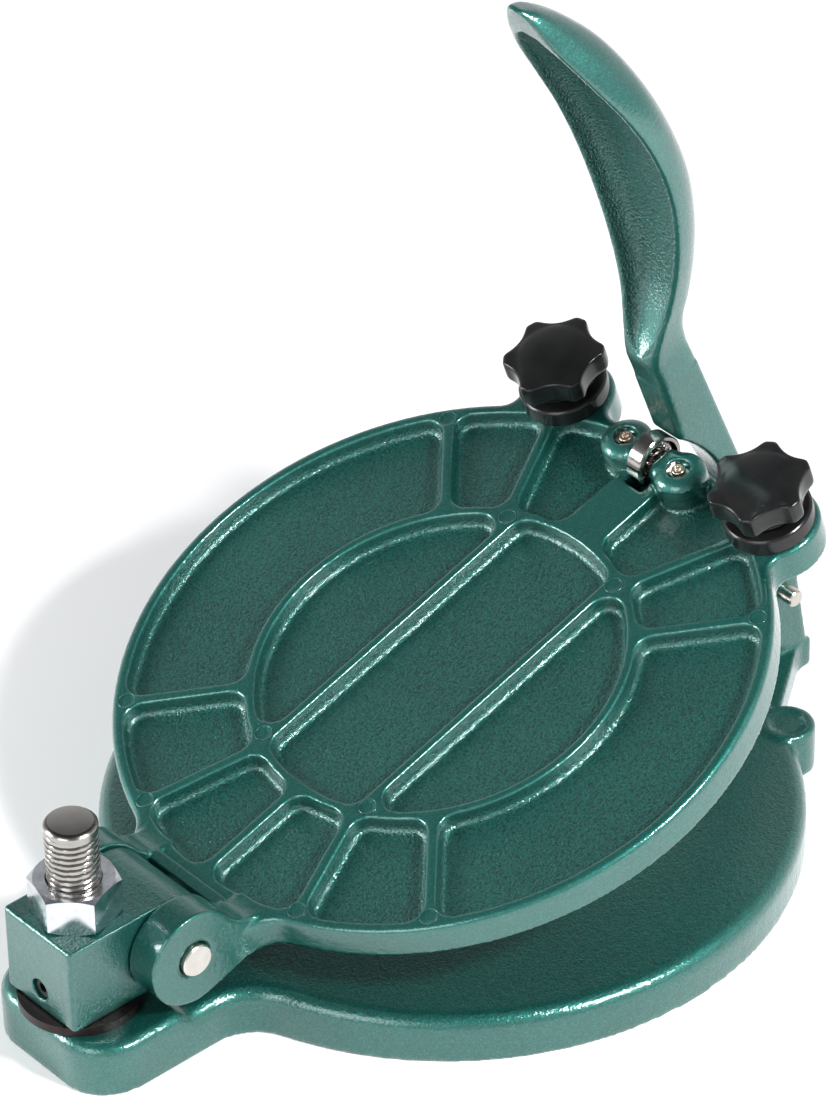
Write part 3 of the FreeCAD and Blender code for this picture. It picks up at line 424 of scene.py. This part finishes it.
def join(piece, other):
    """Add another piece's mesh to a piece, and remove the other."""
    build = bmesh.new()
    build.from_mesh(piece.data)
    build.from_mesh(other.data)
    build.to_mesh(piece.data)
    build.free()
    bpy.data.objects.remove(other)


def easing(piece, rounds):
    """A modifier that smooths a piece."""
    ease = piece.modifiers.new("ease", "SMOOTH")
    ease.factor = 0.5
    ease.iterations = rounds
    return ease


def cast(piece, voxel, rounds):
    """Soften every corner of a piece, as sand casting and enamel leave it."""
    skin = piece.modifiers.new("skin", "REMESH")
    skin.mode = "VOXEL"
    skin.voxel_size = voxel * MM
    skin.use_smooth_shade = True
    easing(piece, rounds)
    return settled(piece)


def ease_where(piece, share_at, rounds):
    """Smooth a piece further by a share that depends on the place."""
    group = piece.vertex_groups.new(name="share")
    for vertex in piece.data.vertices:
        share = share_at(vertex.co)
        if share > 0:
            group.add([vertex.index], share, "REPLACE")
    easing(piece, rounds).vertex_group = "share"
    settled(piece)
    piece.vertex_groups.clear()


def stands_for(piece, node):
    """The piece takes the place of a node, on the node's own body."""
    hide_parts(node)
    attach(piece, NODES[node]["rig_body"])
    return piece


def cylinder(name, radius, start, end, steps=64):
    """A closed cylinder between two points in metres, its radius in mm."""
    axis = (end - start).normalized()
    side = axis.orthogonal().normalized()
    other = axis.cross(side)
    spokes = [(side * math.cos(turn) + other * math.sin(turn)) * radius * MM for turn in around(steps)]
    return grid_object(name, [[end_point + spoke for spoke in spokes] for end_point in (start, end)])


# ---------------------------------------------------------------- castings

# How each is softened: the voxel of its new skin, and its rounds of smoothing.
PLATE_CAST, BASE_CAST, BLOCK_CAST, LEVER_CAST = (0.7, 3), (0.95, 9), (0.55, 4), (0.75, 4)

# The pockets' real depth and their solid's, and where the difference dies out, in from the plate's edge.
POCKET_DEPTH, POCKET_DEPTH_SOLID, POCKET_INNER, POCKET_EDGE = 6.4, 4.2, 4.5, 2.5


def deepen(point):
    """Carry the pockets' floors down to their real depth, with the plate's two faces left as they are."""
    along, across, up = in_plate(point)
    depth = PLATE_TOP - up
    reach = math.hypot(along - PLATE_CENTRE, across)
    inside = held(reach, PLATE_RADIUS - POCKET_INNER, PLATE_RADIUS - POCKET_EDGE, 1.0, 0.0)
    if not 0 < depth < PLATE_THICKNESS or not inside:
        return point
    stretch = POCKET_DEPTH / POCKET_DEPTH_SOLID
    rest = (PLATE_THICKNESS - POCKET_DEPTH) / (PLATE_THICKNESS - POCKET_DEPTH_SOLID)
    lower = POCKET_DEPTH + (depth - POCKET_DEPTH_SOLID) * rest
    deeper = depth * stretch if depth < POCKET_DEPTH_SOLID else lower
    return point - PLATE_UP * (deeper - depth) * inside * MM


# The smoothing at the pockets' feet: its rounds, the depths where it sets in, is full and stops, its
# distance from the edge, and where along from the plate's centre it dies out, in a band of a half
# width, before the roller's bosses.
FOOT_ROUNDS, FOOT_SETS_IN, FOOT_FULL, FOOT_STOPS, FOOT_MARGIN = 12, 1.6, 3.6, 9.0, 4.0
FOOT_BEFORE_BOSSES, FOOT_BOSSES_HALF = (94.0, 100.0), 30.0


def pocket_foot(point):
    """How much of the extra smoothing a point of the plate gets: all of it low in the pockets."""
    along, across, up = in_plate(point)
    depth = PLATE_TOP - up
    inside = math.hypot(along - PLATE_CENTRE, across) < PLATE_RADIUS - FOOT_MARGIN
    if not inside or depth >= FOOT_STOPS:
        return 0.0
    share = held(depth, FOOT_SETS_IN, FOOT_FULL)
    if abs(across) < FOOT_BOSSES_HALF:
        share *= held(along - PLATE_CENTRE, *FOOT_BEFORE_BOSSES, 1.0, 0.0)
    return share


# The roller's bosses, and where their growth sets in and dies out: from a boss's own middle, from the
# middle of the slot between them, and above the plate's top.
BOSS_ALONG, BOSS_ACROSS, BOSS_GROWTH = 268.5, 14.6, 1.0
BOSS_SETS_IN, BOSS_DIES_OUT, BOSS_SLOT, BOSS_FOOT = (6.5, 9.0), (11.5, 15.5), (5.5, 8.5), (-0.4, 1.0)


def fuller_boss(point):
    """Widen the roller's two bosses to their real girth, with the slot between them left as it is."""
    along, across, up = in_plate(point)
    side = math.copysign(BOSS_ACROSS, across)
    out_along, out_across = along - BOSS_ALONG, across - side
    reach = math.hypot(out_along, out_across)
    share = held(reach, *BOSS_SETS_IN) * held(reach, *BOSS_DIES_OUT, 1.0, 0.0)
    share *= held(abs(across), *BOSS_SLOT) * held(up - PLATE_TOP, *BOSS_FOOT)
    if not share:
        return point
    growth = BOSS_GROWTH * share / reach * MM
    return point + (PLATE_ALONG * out_along + AXIS_Y * out_across) * growth


PIN_RELIEF_RADIUS, PIN_RELIEF_DEPTH, EAR_OUTER = 7.3, 1.2, 33.5


def plate_casting():
    """The ribbed plate, with a relief round the hinge pin in the outer face of each ear."""
    piece = copy_of("plate_casting", "top_plate")
    for side in SIDES.values():
        face = EAR_OUTER * side
        cut(piece, cylinder("relief", PIN_RELIEF_RADIUS, on_plate(0, face - PIN_RELIEF_DEPTH * side, 0),
                            on_plate(0, face + side, 0)))
    cast(piece, *PLATE_CAST)
    for vertex in piece.data.vertices:
        vertex.co = fuller_boss(deepen(vertex.co))
    ease_where(piece, pocket_foot, FOOT_ROUNDS)
    return stands_for(piece, "top_plate")


# One end of the lug's step, in metres, the radii of the smoothing round it, and its rounds.
LUG_CORNER = Vector((-0.157, 0.034, 0.0155))
LUG_NEAR, LUG_FAR, LUG_ROUNDS = 6, 11, 60


def lug_corner(point):
    """1 near the two ends of the lug's step, where its solid leaves a thin lip."""
    reach = (Vector((point.x, abs(point.y), point.z)) - LUG_CORNER).length
    return held(reach, LUG_NEAR * MM, LUG_FAR * MM, 1.0, 0.0)


def base_casting():
    """The base, with its lug's step eased into the disc."""
    piece = cast(copy_of("base_casting", "base_plate"), *BASE_CAST)
    ease_where(piece, lug_corner, LUG_ROUNDS)
    return stands_for(piece, "base_plate")


# The set screw, the room round it in its hole, and how far the hole's cutter runs out past it.
SCREW_RADIUS, SCREW_ROOM, CUTTER_REACH = 4.0, 0.2, 3


def block_casting():
    """The hinge block, with the set screw's hole in its front."""
    piece = copy_of("block_casting", "hinge_block")
    low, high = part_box("block_set_screw")
    middle = (low + high) / 2
    mouth = Vector((low.x - CUTTER_REACH * MM, 0, middle.z))
    cut(piece, cylinder("mouth", SCREW_RADIUS + SCREW_ROOM, Vector((high.x, 0, middle.z)), mouth))
    return stands_for(cast(piece, *BLOCK_CAST), "hinge_block")


# The handle along its length: share of its length from the top of the arm, then the height of its rim
# and its back ahead of the arm, as shares of its depth, its width and lip as shares, and how round it is.
ARM_TOP, HANDLE_LENGTH, HANDLE_WIDTH, HANDLE_DEPTH, HANDLE_LIP = 138.0, 188.0, 54.6, 40.0, 3.5
HANDLE = [
    (0.065, 0.155, -0.225, 0.40, 1.85, 0.45), (0.133, 0.000, -0.400, 0.52, 1.30, 0.65),
    (0.223, -0.130, -0.570, 0.68, 1.00, 0.80), (0.330, -0.220, -0.680, 0.84, 1.00, 0.86),
    (0.447, -0.260, -0.734, 0.96, 1.00, 0.88), (0.569, -0.228, -0.708, 1.00, 1.00, 0.88),
    (0.691, -0.124, -0.624, 0.96, 1.00, 0.88), (0.809, 0.022, -0.468, 0.75, 0.92, 0.85),
    (0.904, 0.129, -0.242, 0.48, 0.80, 0.80), (0.970, 0.170, -0.014, 0.27, 0.70, 0.75),
    (1.000, 0.205, 0.155, 0.11, 0.60, 0.70),
]
# The hollow in it: share of the handle's length, then the rim's height, the hollow's width and its depth
# below the rim, as shares as above.
HOLLOW = [
    (0.004, 0.275, 0.06, 0.02), (0.030, 0.225, 0.22, 0.10), (0.065, 0.155, 0.29, 0.17),
    (0.133, 0.000, 0.41, 0.24), (0.223, -0.130, 0.57, 0.28), (0.330, -0.220, 0.73, 0.30),
    (0.447, -0.260, 0.85, 0.31), (0.569, -0.228, 0.89, 0.31), (0.691, -0.124, 0.85, 0.31),
    (0.809, 0.022, 0.64, 0.26), (0.880, 0.100, 0.40, 0.15), (0.915, 0.138, 0.15, 0.03),
]
RIM_ROUNDNESS, NECK_ROUNDNESS, HOLLOW_ROUNDNESS = 0.25, 0.3, 0.6
# The arm's half width, its front and its back, which tapers from its middle to its top, in the real
# lever and in its solid, and where along it the real width and front set in.
ARM_HALF, ARM_FRONT, ARM_BACK, ARM_BACK_TOP, ARM_MIDDLE = 8.75, 11.2, 11.0, 7.3, 58.0
SOLID_HALF, SOLID_FRONT, SOLID_BACK, SOLID_BACK_TOP = 7.5, 10.6, 11.5, 10.0
WIDTH_SETS_IN, FRONT_SETS_IN = (26, 40), (98, 112)
# Where the solid lever is cut off, and the neck that carries the handle: its start inside the arm, its
# middle row, and how far its squarer front reaches back. Points of the solid this close are made one.
ARM_CUT, NECK_START, NECK_MIDDLE, NECK_SHOULDER = 124.0, 116.0, 129.0, 8.0
WELD = 0.001


def section(along, rim, back, width, lip, roundness, points=64):
    """A closed curve across the handle: a nearly flat rim over a rounded back."""
    ring = []
    for turn in around(points):
        across, ahead = math.cos(turn), math.sin(turn)
        power = RIM_ROUNDNESS if ahead > 0 else roundness
        depth = lip if ahead > 0 else rim - lip - back
        ring.append(on_lever(along, math.copysign(abs(across) ** power, across) * width / 2,
                             rim - lip + math.copysign(abs(ahead) ** power, ahead) * depth))
    return ring


def eased(t, start, end, leave, arrive):
    """A value on its way from start to end, with the slopes that it leaves and arrives with."""
    return ((2 * t ** 3 - 3 * t ** 2 + 1) * start + (t ** 3 - 2 * t ** 2 + t) * leave
            + (3 * t ** 2 - 2 * t ** 3) * end + (t ** 3 - t ** 2) * arrive)


def filled_in(rows, steps=8):
    """More rows between rows of numbers, on a smooth curve over the first number of each."""
    fine = []
    for k in range(len(rows) - 1):
        before, start, end = rows[max(k - 1, 0)], rows[k], rows[k + 1]
        after = rows[min(k + 2, len(rows) - 1)]
        span = end[0] - start[0]
        for step in range(steps):
            t = step / steps
            row = [start[0] + span * t]
            for a, b, c, d in zip(before[1:], start[1:], end[1:], after[1:]):
                leave = (c - a) / (end[0] - before[0]) * span
                arrive = (d - b) / (after[0] - start[0]) * span
                row.append(eased(t, b, c, leave, arrive))
            fine.append(row)
    return fine + [list(rows[-1])]


def arm_back(along):
    """How far the real arm's back stands behind its middle line."""
    return held(along, ARM_MIDDLE, ARM_TOP, ARM_BACK, ARM_BACK_TOP)


def fuller_arm(point):
    """Bring the arm of the solid lever to its real thickness, clear of the bracket and the cam."""
    along, across, ahead = in_lever(point)
    wide = 1 + (ARM_HALF / SOLID_HALF - 1) * held(along, *WIDTH_SETS_IN)
    solid_back = held(along, ARM_MIDDLE, ARM_TOP, SOLID_BACK, SOLID_BACK_TOP)
    thick = 1.0
    if ahead < 0 and along > ARM_MIDDLE:
        thick = arm_back(along) / solid_back
    elif ahead > 0:
        thick = 1 + (ARM_FRONT / SOLID_FRONT - 1) * held(along, *FRONT_SETS_IN)
    return on_lever(along, across * wide, ahead * thick)


def lever_arm():
    """The lever's solid up to the neck, with its arm at its real thickness."""
    piece = copy_of("lever_casting", "lever")
    build = bmesh.new()
    build.from_mesh(piece.data)
    bmesh.ops.remove_doubles(build, verts=build.verts, dist=WELD * MM)
    bmesh.ops.bisect_plane(build, geom=build.verts[:] + build.edges[:] + build.faces[:],
                           plane_co=on_lever(ARM_CUT, 0, 0), plane_no=LEVER_ALONG, clear_outer=True)
    bmesh.ops.holes_fill(build, edges=[edge for edge in build.edges if edge.is_boundary], sides=0)
    for vertex in build.verts:
        vertex.co = fuller_arm(vertex.co)
    build.to_mesh(piece.data)
    build.free()
    return piece


def spoon_handle():
    """The handle and its neck, with the hollow cut out."""
    neck = 2 * ARM_HALF, NECK_SHOULDER, NECK_ROUNDNESS
    rows = [(along, ARM_FRONT, -arm_back(along), *neck) for along in (NECK_START, NECK_MIDDLE, ARM_TOP)]
    for share, rim, back, wide, lip, roundness in HANDLE:
        rows.append((ARM_TOP + share * HANDLE_LENGTH, rim * HANDLE_DEPTH, back * HANDLE_DEPTH,
                     wide * HANDLE_WIDTH, lip * HANDLE_LIP, roundness))
    handle = grid_object("handle", [section(*row) for row in filled_in(rows)])
    rows = []
    for share, rim, wide, deep in HOLLOW:
        mouth = (rim + 2 * deep) * HANDLE_DEPTH
        rows.append((ARM_TOP + share * HANDLE_LENGTH, mouth, (rim - deep) * HANDLE_DEPTH,
                     wide * HANDLE_WIDTH, mouth - rim * HANDLE_DEPTH, HOLLOW_ROUNDNESS))
    cut(handle, grid_object("hollow", [section(*row) for row in filled_in(rows)]))
    return handle


def lever_casting():
    """The lever: its arm, with the cam as its solid has it, and its spoon handle in one casting."""
    piece = lever_arm()
    join(piece, spoon_handle())
    return stands_for(cast(piece, *LEVER_CAST), "lever")


# A mark's radius, half its width, half its height, and the share of that by which its middle is sunk.
MARK_RADIUS, MARK_WIDTH, MARK_RISE, MARK_SUNK = 3.4, 0.24, 0.16, 0.2
MARK_STEPS, MARK_SIDES = 40, 8
# The ribs' inner ring and the outside of their band, which the inner marks stand off from, and the outer
# marks' distance from the plate's centre and their angles in degrees.
RING_RADIUS, BAND_HALF, MARK_OFFSET, MARK_REACH = 73.2, 27.0, 2.5, 121.0
MARK_ANGLES = 45.2, 134.8, 159.0


def mark_places():
    """Where the marks stand, along and across from the plate's centre."""
    half = BAND_HALF + MARK_OFFSET
    along = math.sqrt((RING_RADIUS - MARK_OFFSET) ** 2 - half ** 2)
    places = [(end * along, side * half) for end in (-1, 1) for side in (-1, 1)]
    for angle in MARK_ANGLES:
        turn = math.radians(angle)
        places += [(MARK_REACH * math.cos(turn), side * MARK_REACH * math.sin(turn)) for side in (-1, 1)]
    return places


def ejector_marks():
    """The thin raised rings where the ribs meet the plate's inner ring and its rim."""
    build = bmesh.new()
    for x, y in mark_places():
        rows = []
        for turn in around(MARK_STEPS):
            row = []
            for lift in around(MARK_SIDES):
                reach = MARK_RADIUS + MARK_WIDTH * math.cos(lift)
                row.append(build.verts.new(on_plate(PLATE_CENTRE + x + reach * math.cos(turn),
                                                    y + reach * math.sin(turn),
                                                    PLATE_TOP + MARK_RISE * (math.sin(lift) - MARK_SUNK))))
            rows.append(row)
        for row, after in zip(rows, rows[1:] + rows[:1]):
            for step in range(MARK_SIDES):
                build.faces.new((row[step], row[step - 1], after[step - 1], after[step]))
    mesh = bpy.data.meshes.new("ejector_marks")
    bmesh.ops.recalc_face_normals(build, faces=build.faces)
    build.to_mesh(mesh)
    build.free()
    smooth(mesh)
    marks = link(bpy.data.objects.new("ejector_marks", mesh))
    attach(marks, "plate")
    return marks


# ---------------------------------------------------------------- knobs, stud and nut

KNOB_RADIUS, KNOB_HUB, KNOB_CROWN, KNOB_LOW, KNOB_STEPS = 20.0, 15.0, 14.2, 4.6, 144
KNOB_TURN = {"near": 1.0, "far": -18.0}
TAB_ALONG, TAB_ACROSS = 274.5, 56.3
# The scallops' radius and how far out their centres stand, how softly a scallop and the edge are
# joined, how far outside its radius the edge is for that, and how far the outline is let out again.
SCALLOP_RADIUS, SCALLOP_PITCH, LOBES = 14.0, 30.3, 6
LOBE_SOFTNESS, LOBE_OUTSIDE, LOBE_LET_OUT = 1.0, 0.25, 0.15
# The knob's rows: a circle of a radius, or the lobed outline drawn in by a size, and its height above
# the knob's underside.
KNOB_ROWS = [
    ("round", 8.2, 0.0), ("round", KNOB_HUB - 0.6, 0.0), ("round", KNOB_HUB, 0.6), ("round", KNOB_HUB, 2.0),
    ("round", KNOB_HUB + 0.4, 2.5), ("lobed", 1.2, 2.7), ("lobed", 0.4, 3.1), ("lobed", 0.0, 4.2),
    ("lobed", 0.0, 7.6), ("lobed", 0.0, 11.0), ("lobed", 0.15, 11.8), ("lobed", 0.6, 12.3),
    ("lobed", 1.6, 12.5), ("round", KNOB_CROWN, 12.65), ("round", KNOB_CROWN - 0.7, 13.0),
    ("round", 9.5, 13.6), ("round", 5.0, 13.95), ("round", 1.2, 14.05),
]


def lobe_reach(turn):
    """The knob's radius in a direction: a round edge with scallops, softly joined."""
    pitch = 2 * math.pi / LOBES
    aside = (turn + pitch / 2) % pitch - pitch / 2
    across = SCALLOP_PITCH * math.sin(aside)
    if abs(across) >= SCALLOP_RADIUS:
        return KNOB_RADIUS
    scallop = SCALLOP_PITCH * math.cos(aside) - math.sqrt(SCALLOP_RADIUS ** 2 - across ** 2)
    lower = -LOBE_SOFTNESS * math.log(math.exp(-scallop / LOBE_SOFTNESS)
                                      + math.exp(-(KNOB_RADIUS + LOBE_OUTSIDE) / LOBE_SOFTNESS))
    return min(KNOB_RADIUS, lower + LOBE_LET_OUT)


def star_knob(side, sign):
    """A knob over its tab of the plate, turned to where it was left."""
    rings = []
    for kind, size, height in KNOB_ROWS:
        ring = []
        for turn in around(KNOB_STEPS):
            reach = size if kind == "round" else lobe_reach(turn) - size
            angle = turn + math.radians(KNOB_TURN[side])
            ring.append(on_plate(TAB_ALONG + reach * math.cos(angle),
                                 TAB_ACROSS * sign + reach * math.sin(angle), KNOB_LOW + height))
        rings.append(ring)
    knob = grid_object("star_knob_" + side, rings)
    finer = knob.modifiers.new("finer", "SUBSURF")
    finer.levels = finer.render_levels = 1
    settled(knob)
    smooth(knob.data)
    return stands_for(knob, "adjuster_knob_" + side)


# The stud's thread: pitch and depth, and half its groove's width as a share of the pitch. Then the
# heights where it starts and ends, the height over which it fades out, and the height of a row.
THREAD_PITCH, THREAD_DEPTH, GROOVE_HALF = 2.5, 1.1, 0.24
THREAD_LOW, THREAD_HIGH, THREAD_FADE, THREAD_ROW = 74.0, 100.2, 1.2, 0.21
STUD_RADIUS, STUD_STEPS, HEAD_TOP, HEAD_CHAMFER = 10.0, 96, 8.0, 0.8
# The stud's tip: how far each row is drawn in from its radius, and how far below its top it is.
STUD_TIP = [(0.0, 1.5), (0.25, 1.15), (1.5, 0.1), (1.9, 0.0), (9.4, 0.0)]


def thread_reach(turn, height):
    """The thread's radius in a direction, at a height."""
    phase = (height / THREAD_PITCH - turn / (2 * math.pi)) % 1.0
    groove = max(0.0, 1 - abs(phase - 0.5) / GROOVE_HALF)
    fade = held(height, THREAD_HIGH - THREAD_FADE, THREAD_HIGH, 1, 0)
    return STUD_RADIUS - THREAD_DEPTH * groove * fade


def threaded_stud():
    """The hinge stud: a head under the base, a plain shank, and a thread that runs out below its top."""
    low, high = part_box("hinge_stud")
    centre = (low + high) / 2
    foot, top = low.z / MM, high.z / MM
    head = (high.x - low.x) / 2 / MM
    rows = [(head - HEAD_CHAMFER, foot), (head, foot + HEAD_CHAMFER), (head, HEAD_TOP - HEAD_CHAMFER),
            (head - HEAD_CHAMFER, HEAD_TOP), (STUD_RADIUS, HEAD_TOP), (STUD_RADIUS, THREAD_LOW)]
    length = THREAD_HIGH - THREAD_LOW
    count = int(length / THREAD_ROW)
    rows += [(None, THREAD_LOW + length * k / count) for k in range(1, count + 1)]
    rows += [(STUD_RADIUS - inset, top - drop) for inset, drop in STUD_TIP]
    rings = []
    for radius, height in rows:
        ring = []
        for turn in around(STUD_STEPS):
            reach = (thread_reach(turn, height) if radius is None else radius) * MM
            ring.append(Vector((centre.x + reach * math.cos(turn), centre.y + reach * math.sin(turn),
                                height * MM)))
        rings.append(ring)
    return stands_for(grid_object("threaded_stud", rings, crease=32), "hinge_stud")


# The section of the bearing's outer ring: radius, and place across.
BEARING_PROFILE = [(9.0, -3.2), (9.3, -3.5), (10.55, -3.5), (11.0, -3.05), (11.0, 3.05), (10.55, 3.5),
                   (9.3, 3.5), (9.0, 3.2)]
BEARING_STEPS = 120


def ground_roller():
    """The bearing's outer ring, with its corners broken."""
    low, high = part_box("bearing_outer_ring")
    centre = (low + high) / 2
    rings = [[centre + Vector((radius * math.cos(turn), across, radius * math.sin(turn))) * MM
              for turn in around(BEARING_STEPS)] for radius, across in BEARING_PROFILE]
    piece = grid_object("ground_roller", rings, crease=25, endless=True)
    return stands_for(piece, "bearing_outer_ring")


NUT_TURN = 15.7


def turned_nut():
    """The hinge nut, turned on its stud to where it was tightened."""
    low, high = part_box("hinge_nut")
    centre = (low + high) / 2
    piece = copy_of("tightened_nut", "hinge_nut")
    turn = Matrix.Rotation(math.radians(NUT_TURN), 4, "Z")
    piece.data.transform(Matrix.Translation(centre) @ turn @ Matrix.Translation(-centre))
    return stands_for(piece, "hinge_nut")


# The set screw's length and chamfer, its hexagon socket to the corners, the socket's depth, the depth
# and width of the lead into it, and the small circle that closes an end.
SCREW_LENGTH, SCREW_CHAMFER, SCREW_STEPS = 4.0, 0.5, 48
SOCKET_RADIUS, SOCKET_DEPTH, LEAD_DEPTH, LEAD_WIDTH, END_CIRCLE = 2.1, 2.4, 0.2, 0.25, 0.3


def hexagon_share(turn):
    """How far out a hexagon's edge lies in a direction, as a share of its corners' radius."""
    return math.cos(math.pi / 6) / math.cos(turn % (math.pi / 3) - math.pi / 6)


def set_screw():
    """The block's set screw, with a hexagon socket, a little wider than its plain solid."""
    low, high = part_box("block_set_screw")
    middle = (low + high) / 2
    rows = [(END_CIRCLE, SOCKET_DEPTH), (SOCKET_RADIUS, SOCKET_DEPTH), (SOCKET_RADIUS, LEAD_DEPTH),
            (SOCKET_RADIUS + LEAD_WIDTH, 0.0), (SCREW_RADIUS - SCREW_CHAMFER, 0.0),
            (SCREW_RADIUS, SCREW_CHAMFER), (SCREW_RADIUS, SCREW_LENGTH), (END_CIRCLE, SCREW_LENGTH)]
    rings = []
    for radius, depth in rows:
        ring = []
        for turn in around(SCREW_STEPS):
            reach = radius * (hexagon_share(turn) if radius == SOCKET_RADIUS else 1.0) * MM
            ring.append(Vector((low.x + depth * MM, reach * math.cos(turn),
                                middle.z + reach * math.sin(turn))))
        rings.append(ring)
    return stands_for(grid_object("socket_screw", rings, crease=32), "block_set_screw")


# ---------------------------------------------------------------- dressing

GREEN = green_enamel("green_enamel")
PLATE_GREEN = green_enamel("green_enamel_plate", pocket_mask)
LEVER_GREEN = green_enamel("green_enamel_lever", hollow_mask, HOLLOW_PEEL_DEPTH)
paint(base_casting(), GREEN)
paint(block_casting(), GREEN)
paint(plate_casting(), PLATE_GREEN)
paint(lever_casting(), LEVER_GREEN)
paint(ejector_marks(), GREEN)

STUD_BOX, AXLE_BOX, PIN_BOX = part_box("hinge_stud"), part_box("roller_axle"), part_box("lever_pin")
STUD_CENTRE, AXLE_CENTRE, PIN_CENTRE = ((low + high) / 2 for low, high in (STUD_BOX, AXLE_BOX, PIN_BOX))

# The stud's crest radius turns on painted shade in its thread's grooves.
STUD = turned_steel("stud_steel", (0.34, 0.325, 0.305), 0.22, AXIS_Z, STUD_CENTRE, STUD_RADIUS)
PLASTIC = gloss_plastic()
CHROME = bright_metal("bearing_chrome", (0.30, 0.28, 0.265), 0.12)
ZINC = bright_metal("bright_zinc", (0.70, 0.72, 0.75), 0.18)
YELLOW_ZINC = bright_metal("yellow_zinc", (0.50, 0.42, 0.34), 0.22)
BRASS = bright_metal("brass", (0.66, 0.48, 0.22), 0.3)
OXIDE = dark_metal("black_oxide", (0.012, 0.012, 0.012), 0.35)
paint(threaded_stud(), STUD)
paint(turned_nut(), ZINC)
paint(set_screw(), OXIDE)
paint(ground_roller(), CHROME)
for side_name, side_sign in SIDES.items():
    paint(star_knob(side_name, side_sign), PLASTIC)

# Small pieces that only get their corners softened: node, slot, voxel, rounds and finish.
SOFTENED = {
    "cross_screws": ("axle_screws", "zinc_screws", 0.13, 3, YELLOW_ZINC),
    "collar_near": ("lock_collar_near", "black_gloss_plastic", 0.35, 3, PLASTIC),
    "collar_far": ("lock_collar_far", "black_gloss_plastic", 0.35, 3, PLASTIC),
}
for name, (node, slot, voxel, rounds, finish) in SOFTENED.items():
    paint(stands_for(cast(copy_of(name, node), voxel, rounds), node), finish)

FINISHES = {
    "spacer_washer": dark_metal("black_washer", (0.016, 0.010, 0.010), 0.34),
    "hinge_pin": turned_steel("hinge_pin_steel", (0.60, 0.56, 0.52), 0.2, AXIS_Y, HINGE),
    "lever_pin": turned_steel("lever_pin_steel", (0.55, 0.51, 0.47), 0.22, AXIS_Y, PIN_CENTRE),
    "roller_axle": turned_steel("axle_steel", (0.6, 0.58, 0.55), 0.3, AXIS_Y, AXLE_CENTRE),
    "roller_washer_near": CHROME, "roller_washer_far": CHROME,
    "bearing_inner_ring": CHROME, "bearing_balls": ZINC,
    "bearing_cage": bright_metal("cage_steel", (0.40, 0.36, 0.32), 0.3),
    "adjuster_stud_near": ZINC, "adjuster_stud_far": ZINC,
    "knob_insert_near": BRASS, "knob_insert_far": BRASS,
}
for node, finish in FINISHES.items():
    paint(NODES[node], finish)


# ---------------------------------------------------------------- studio

# Half the floor's side, in metres, and its colour.
FLOOR_REACH, FLOOR_COLOUR = 3.0, (0.93, 0.935, 0.94, 1.0)
# The point in the press that the lamps face, in metres, and each lamp's direction from there, its
# distance, width and height in metres, and its watts.
LAMP_AIM = Vector((0, 0, 0.05))
LAMPS = {
    "key": ((0.15, -0.70, 0.68), 1.6, 0.36, 0.18, 33),
    "left": ((-0.95, -0.25, 0.55), 1.6, 0.8, 0.8, 8),
    "window": ((-0.72, 0.62, 0.34), 1.7, 0.6, 0.6, 22),
}
# The world's colours towards the sides and overhead, the heights between which it turns, and its strength.
WORLD_SIDES, WORLD_OVERHEAD = (0.95, 0.96, 0.97), (0.20, 0.21, 0.22)
WORLD_TURNS, WORLD_STRENGTH = (0.40, 0.78), 0.86
# The camera's place in metres and its directions, from a fit to the plate's and the base's outlines.
CAMERA_PLACE, CAMERA_LENS, SENSOR_HEIGHT = Vector((-1.2285, -1.4146, 1.5190)), 207.3, 36.0
CAMERA_RIGHT, CAMERA_UP = Vector((0.7509, -0.6602, -0.0175)), Vector((0.4034, 0.4374, 0.8037))


def stage_floor():
    """A pale floor, which isn't part of the press."""
    half = FLOOR_REACH
    corners = [(-half, -half, 0), (half, -half, 0), (half, half, 0), (-half, half, 0)]
    mesh = bpy.data.meshes.new("floor")
    mesh.from_pydata(corners, [], [(0, 1, 2, 3)])
    floor = link(bpy.data.objects.new("floor", mesh))
    paint(floor, new_material("pale_floor", Base_Color=FLOOR_COLOUR, Roughness=0.7)[0])


def softbox(name, direction, distance, width, height, watts):
    """A soft lamp that faces the press."""
    light = bpy.data.lights.new(name, "AREA")
    light.shape = "RECTANGLE"
    light.size, light.size_y = width, height
    light.energy = watts
    lamp = link(bpy.data.objects.new(name, light))
    towards = Vector(direction).normalized()
    lamp.location = towards * distance + LAMP_AIM
    lamp.rotation_euler = towards.to_track_quat("Z", "Y").to_euler()


def surroundings():
    """A world that is pale at the sides and darker overhead."""
    world = bpy.data.worlds.new("studio")
    bpy.context.scene.world = world
    world.use_nodes = True
    tree = world.node_tree
    background = tree.nodes["Background"]
    sky = add(tree, "SeparateXYZ", {"Vector": add(tree, "TexCoord").outputs["Generated"]})
    level = ramp(tree, sky.outputs["Z"], *WORLD_TURNS)
    feed(tree, background, Color=blend_colours(tree, level, WORLD_SIDES, WORLD_OVERHEAD))
    background.inputs["Strength"].default_value = WORLD_STRENGTH


def camera():
    """The camera, with its directions squared up."""
    lens = bpy.data.cameras.new("camera")
    lens.sensor_fit = "VERTICAL"
    lens.sensor_height = SENSOR_HEIGHT
    lens.lens = CAMERA_LENS
    eye = link(bpy.data.objects.new("camera", lens))
    right = CAMERA_RIGHT.normalized()
    back = right.cross(CAMERA_UP).normalized()
    directions = Matrix((right, back.cross(right), back)).transposed()
    eye.matrix_world = Matrix.Translation(CAMERA_PLACE) @ directions.to_4x4()
    bpy.context.scene.camera = eye


stage_floor()
surroundings()
for name, lamp in LAMPS.items():
    softbox(name, *lamp)
camera()
bpy.context.scene.view_settings.view_transform = "Standard"
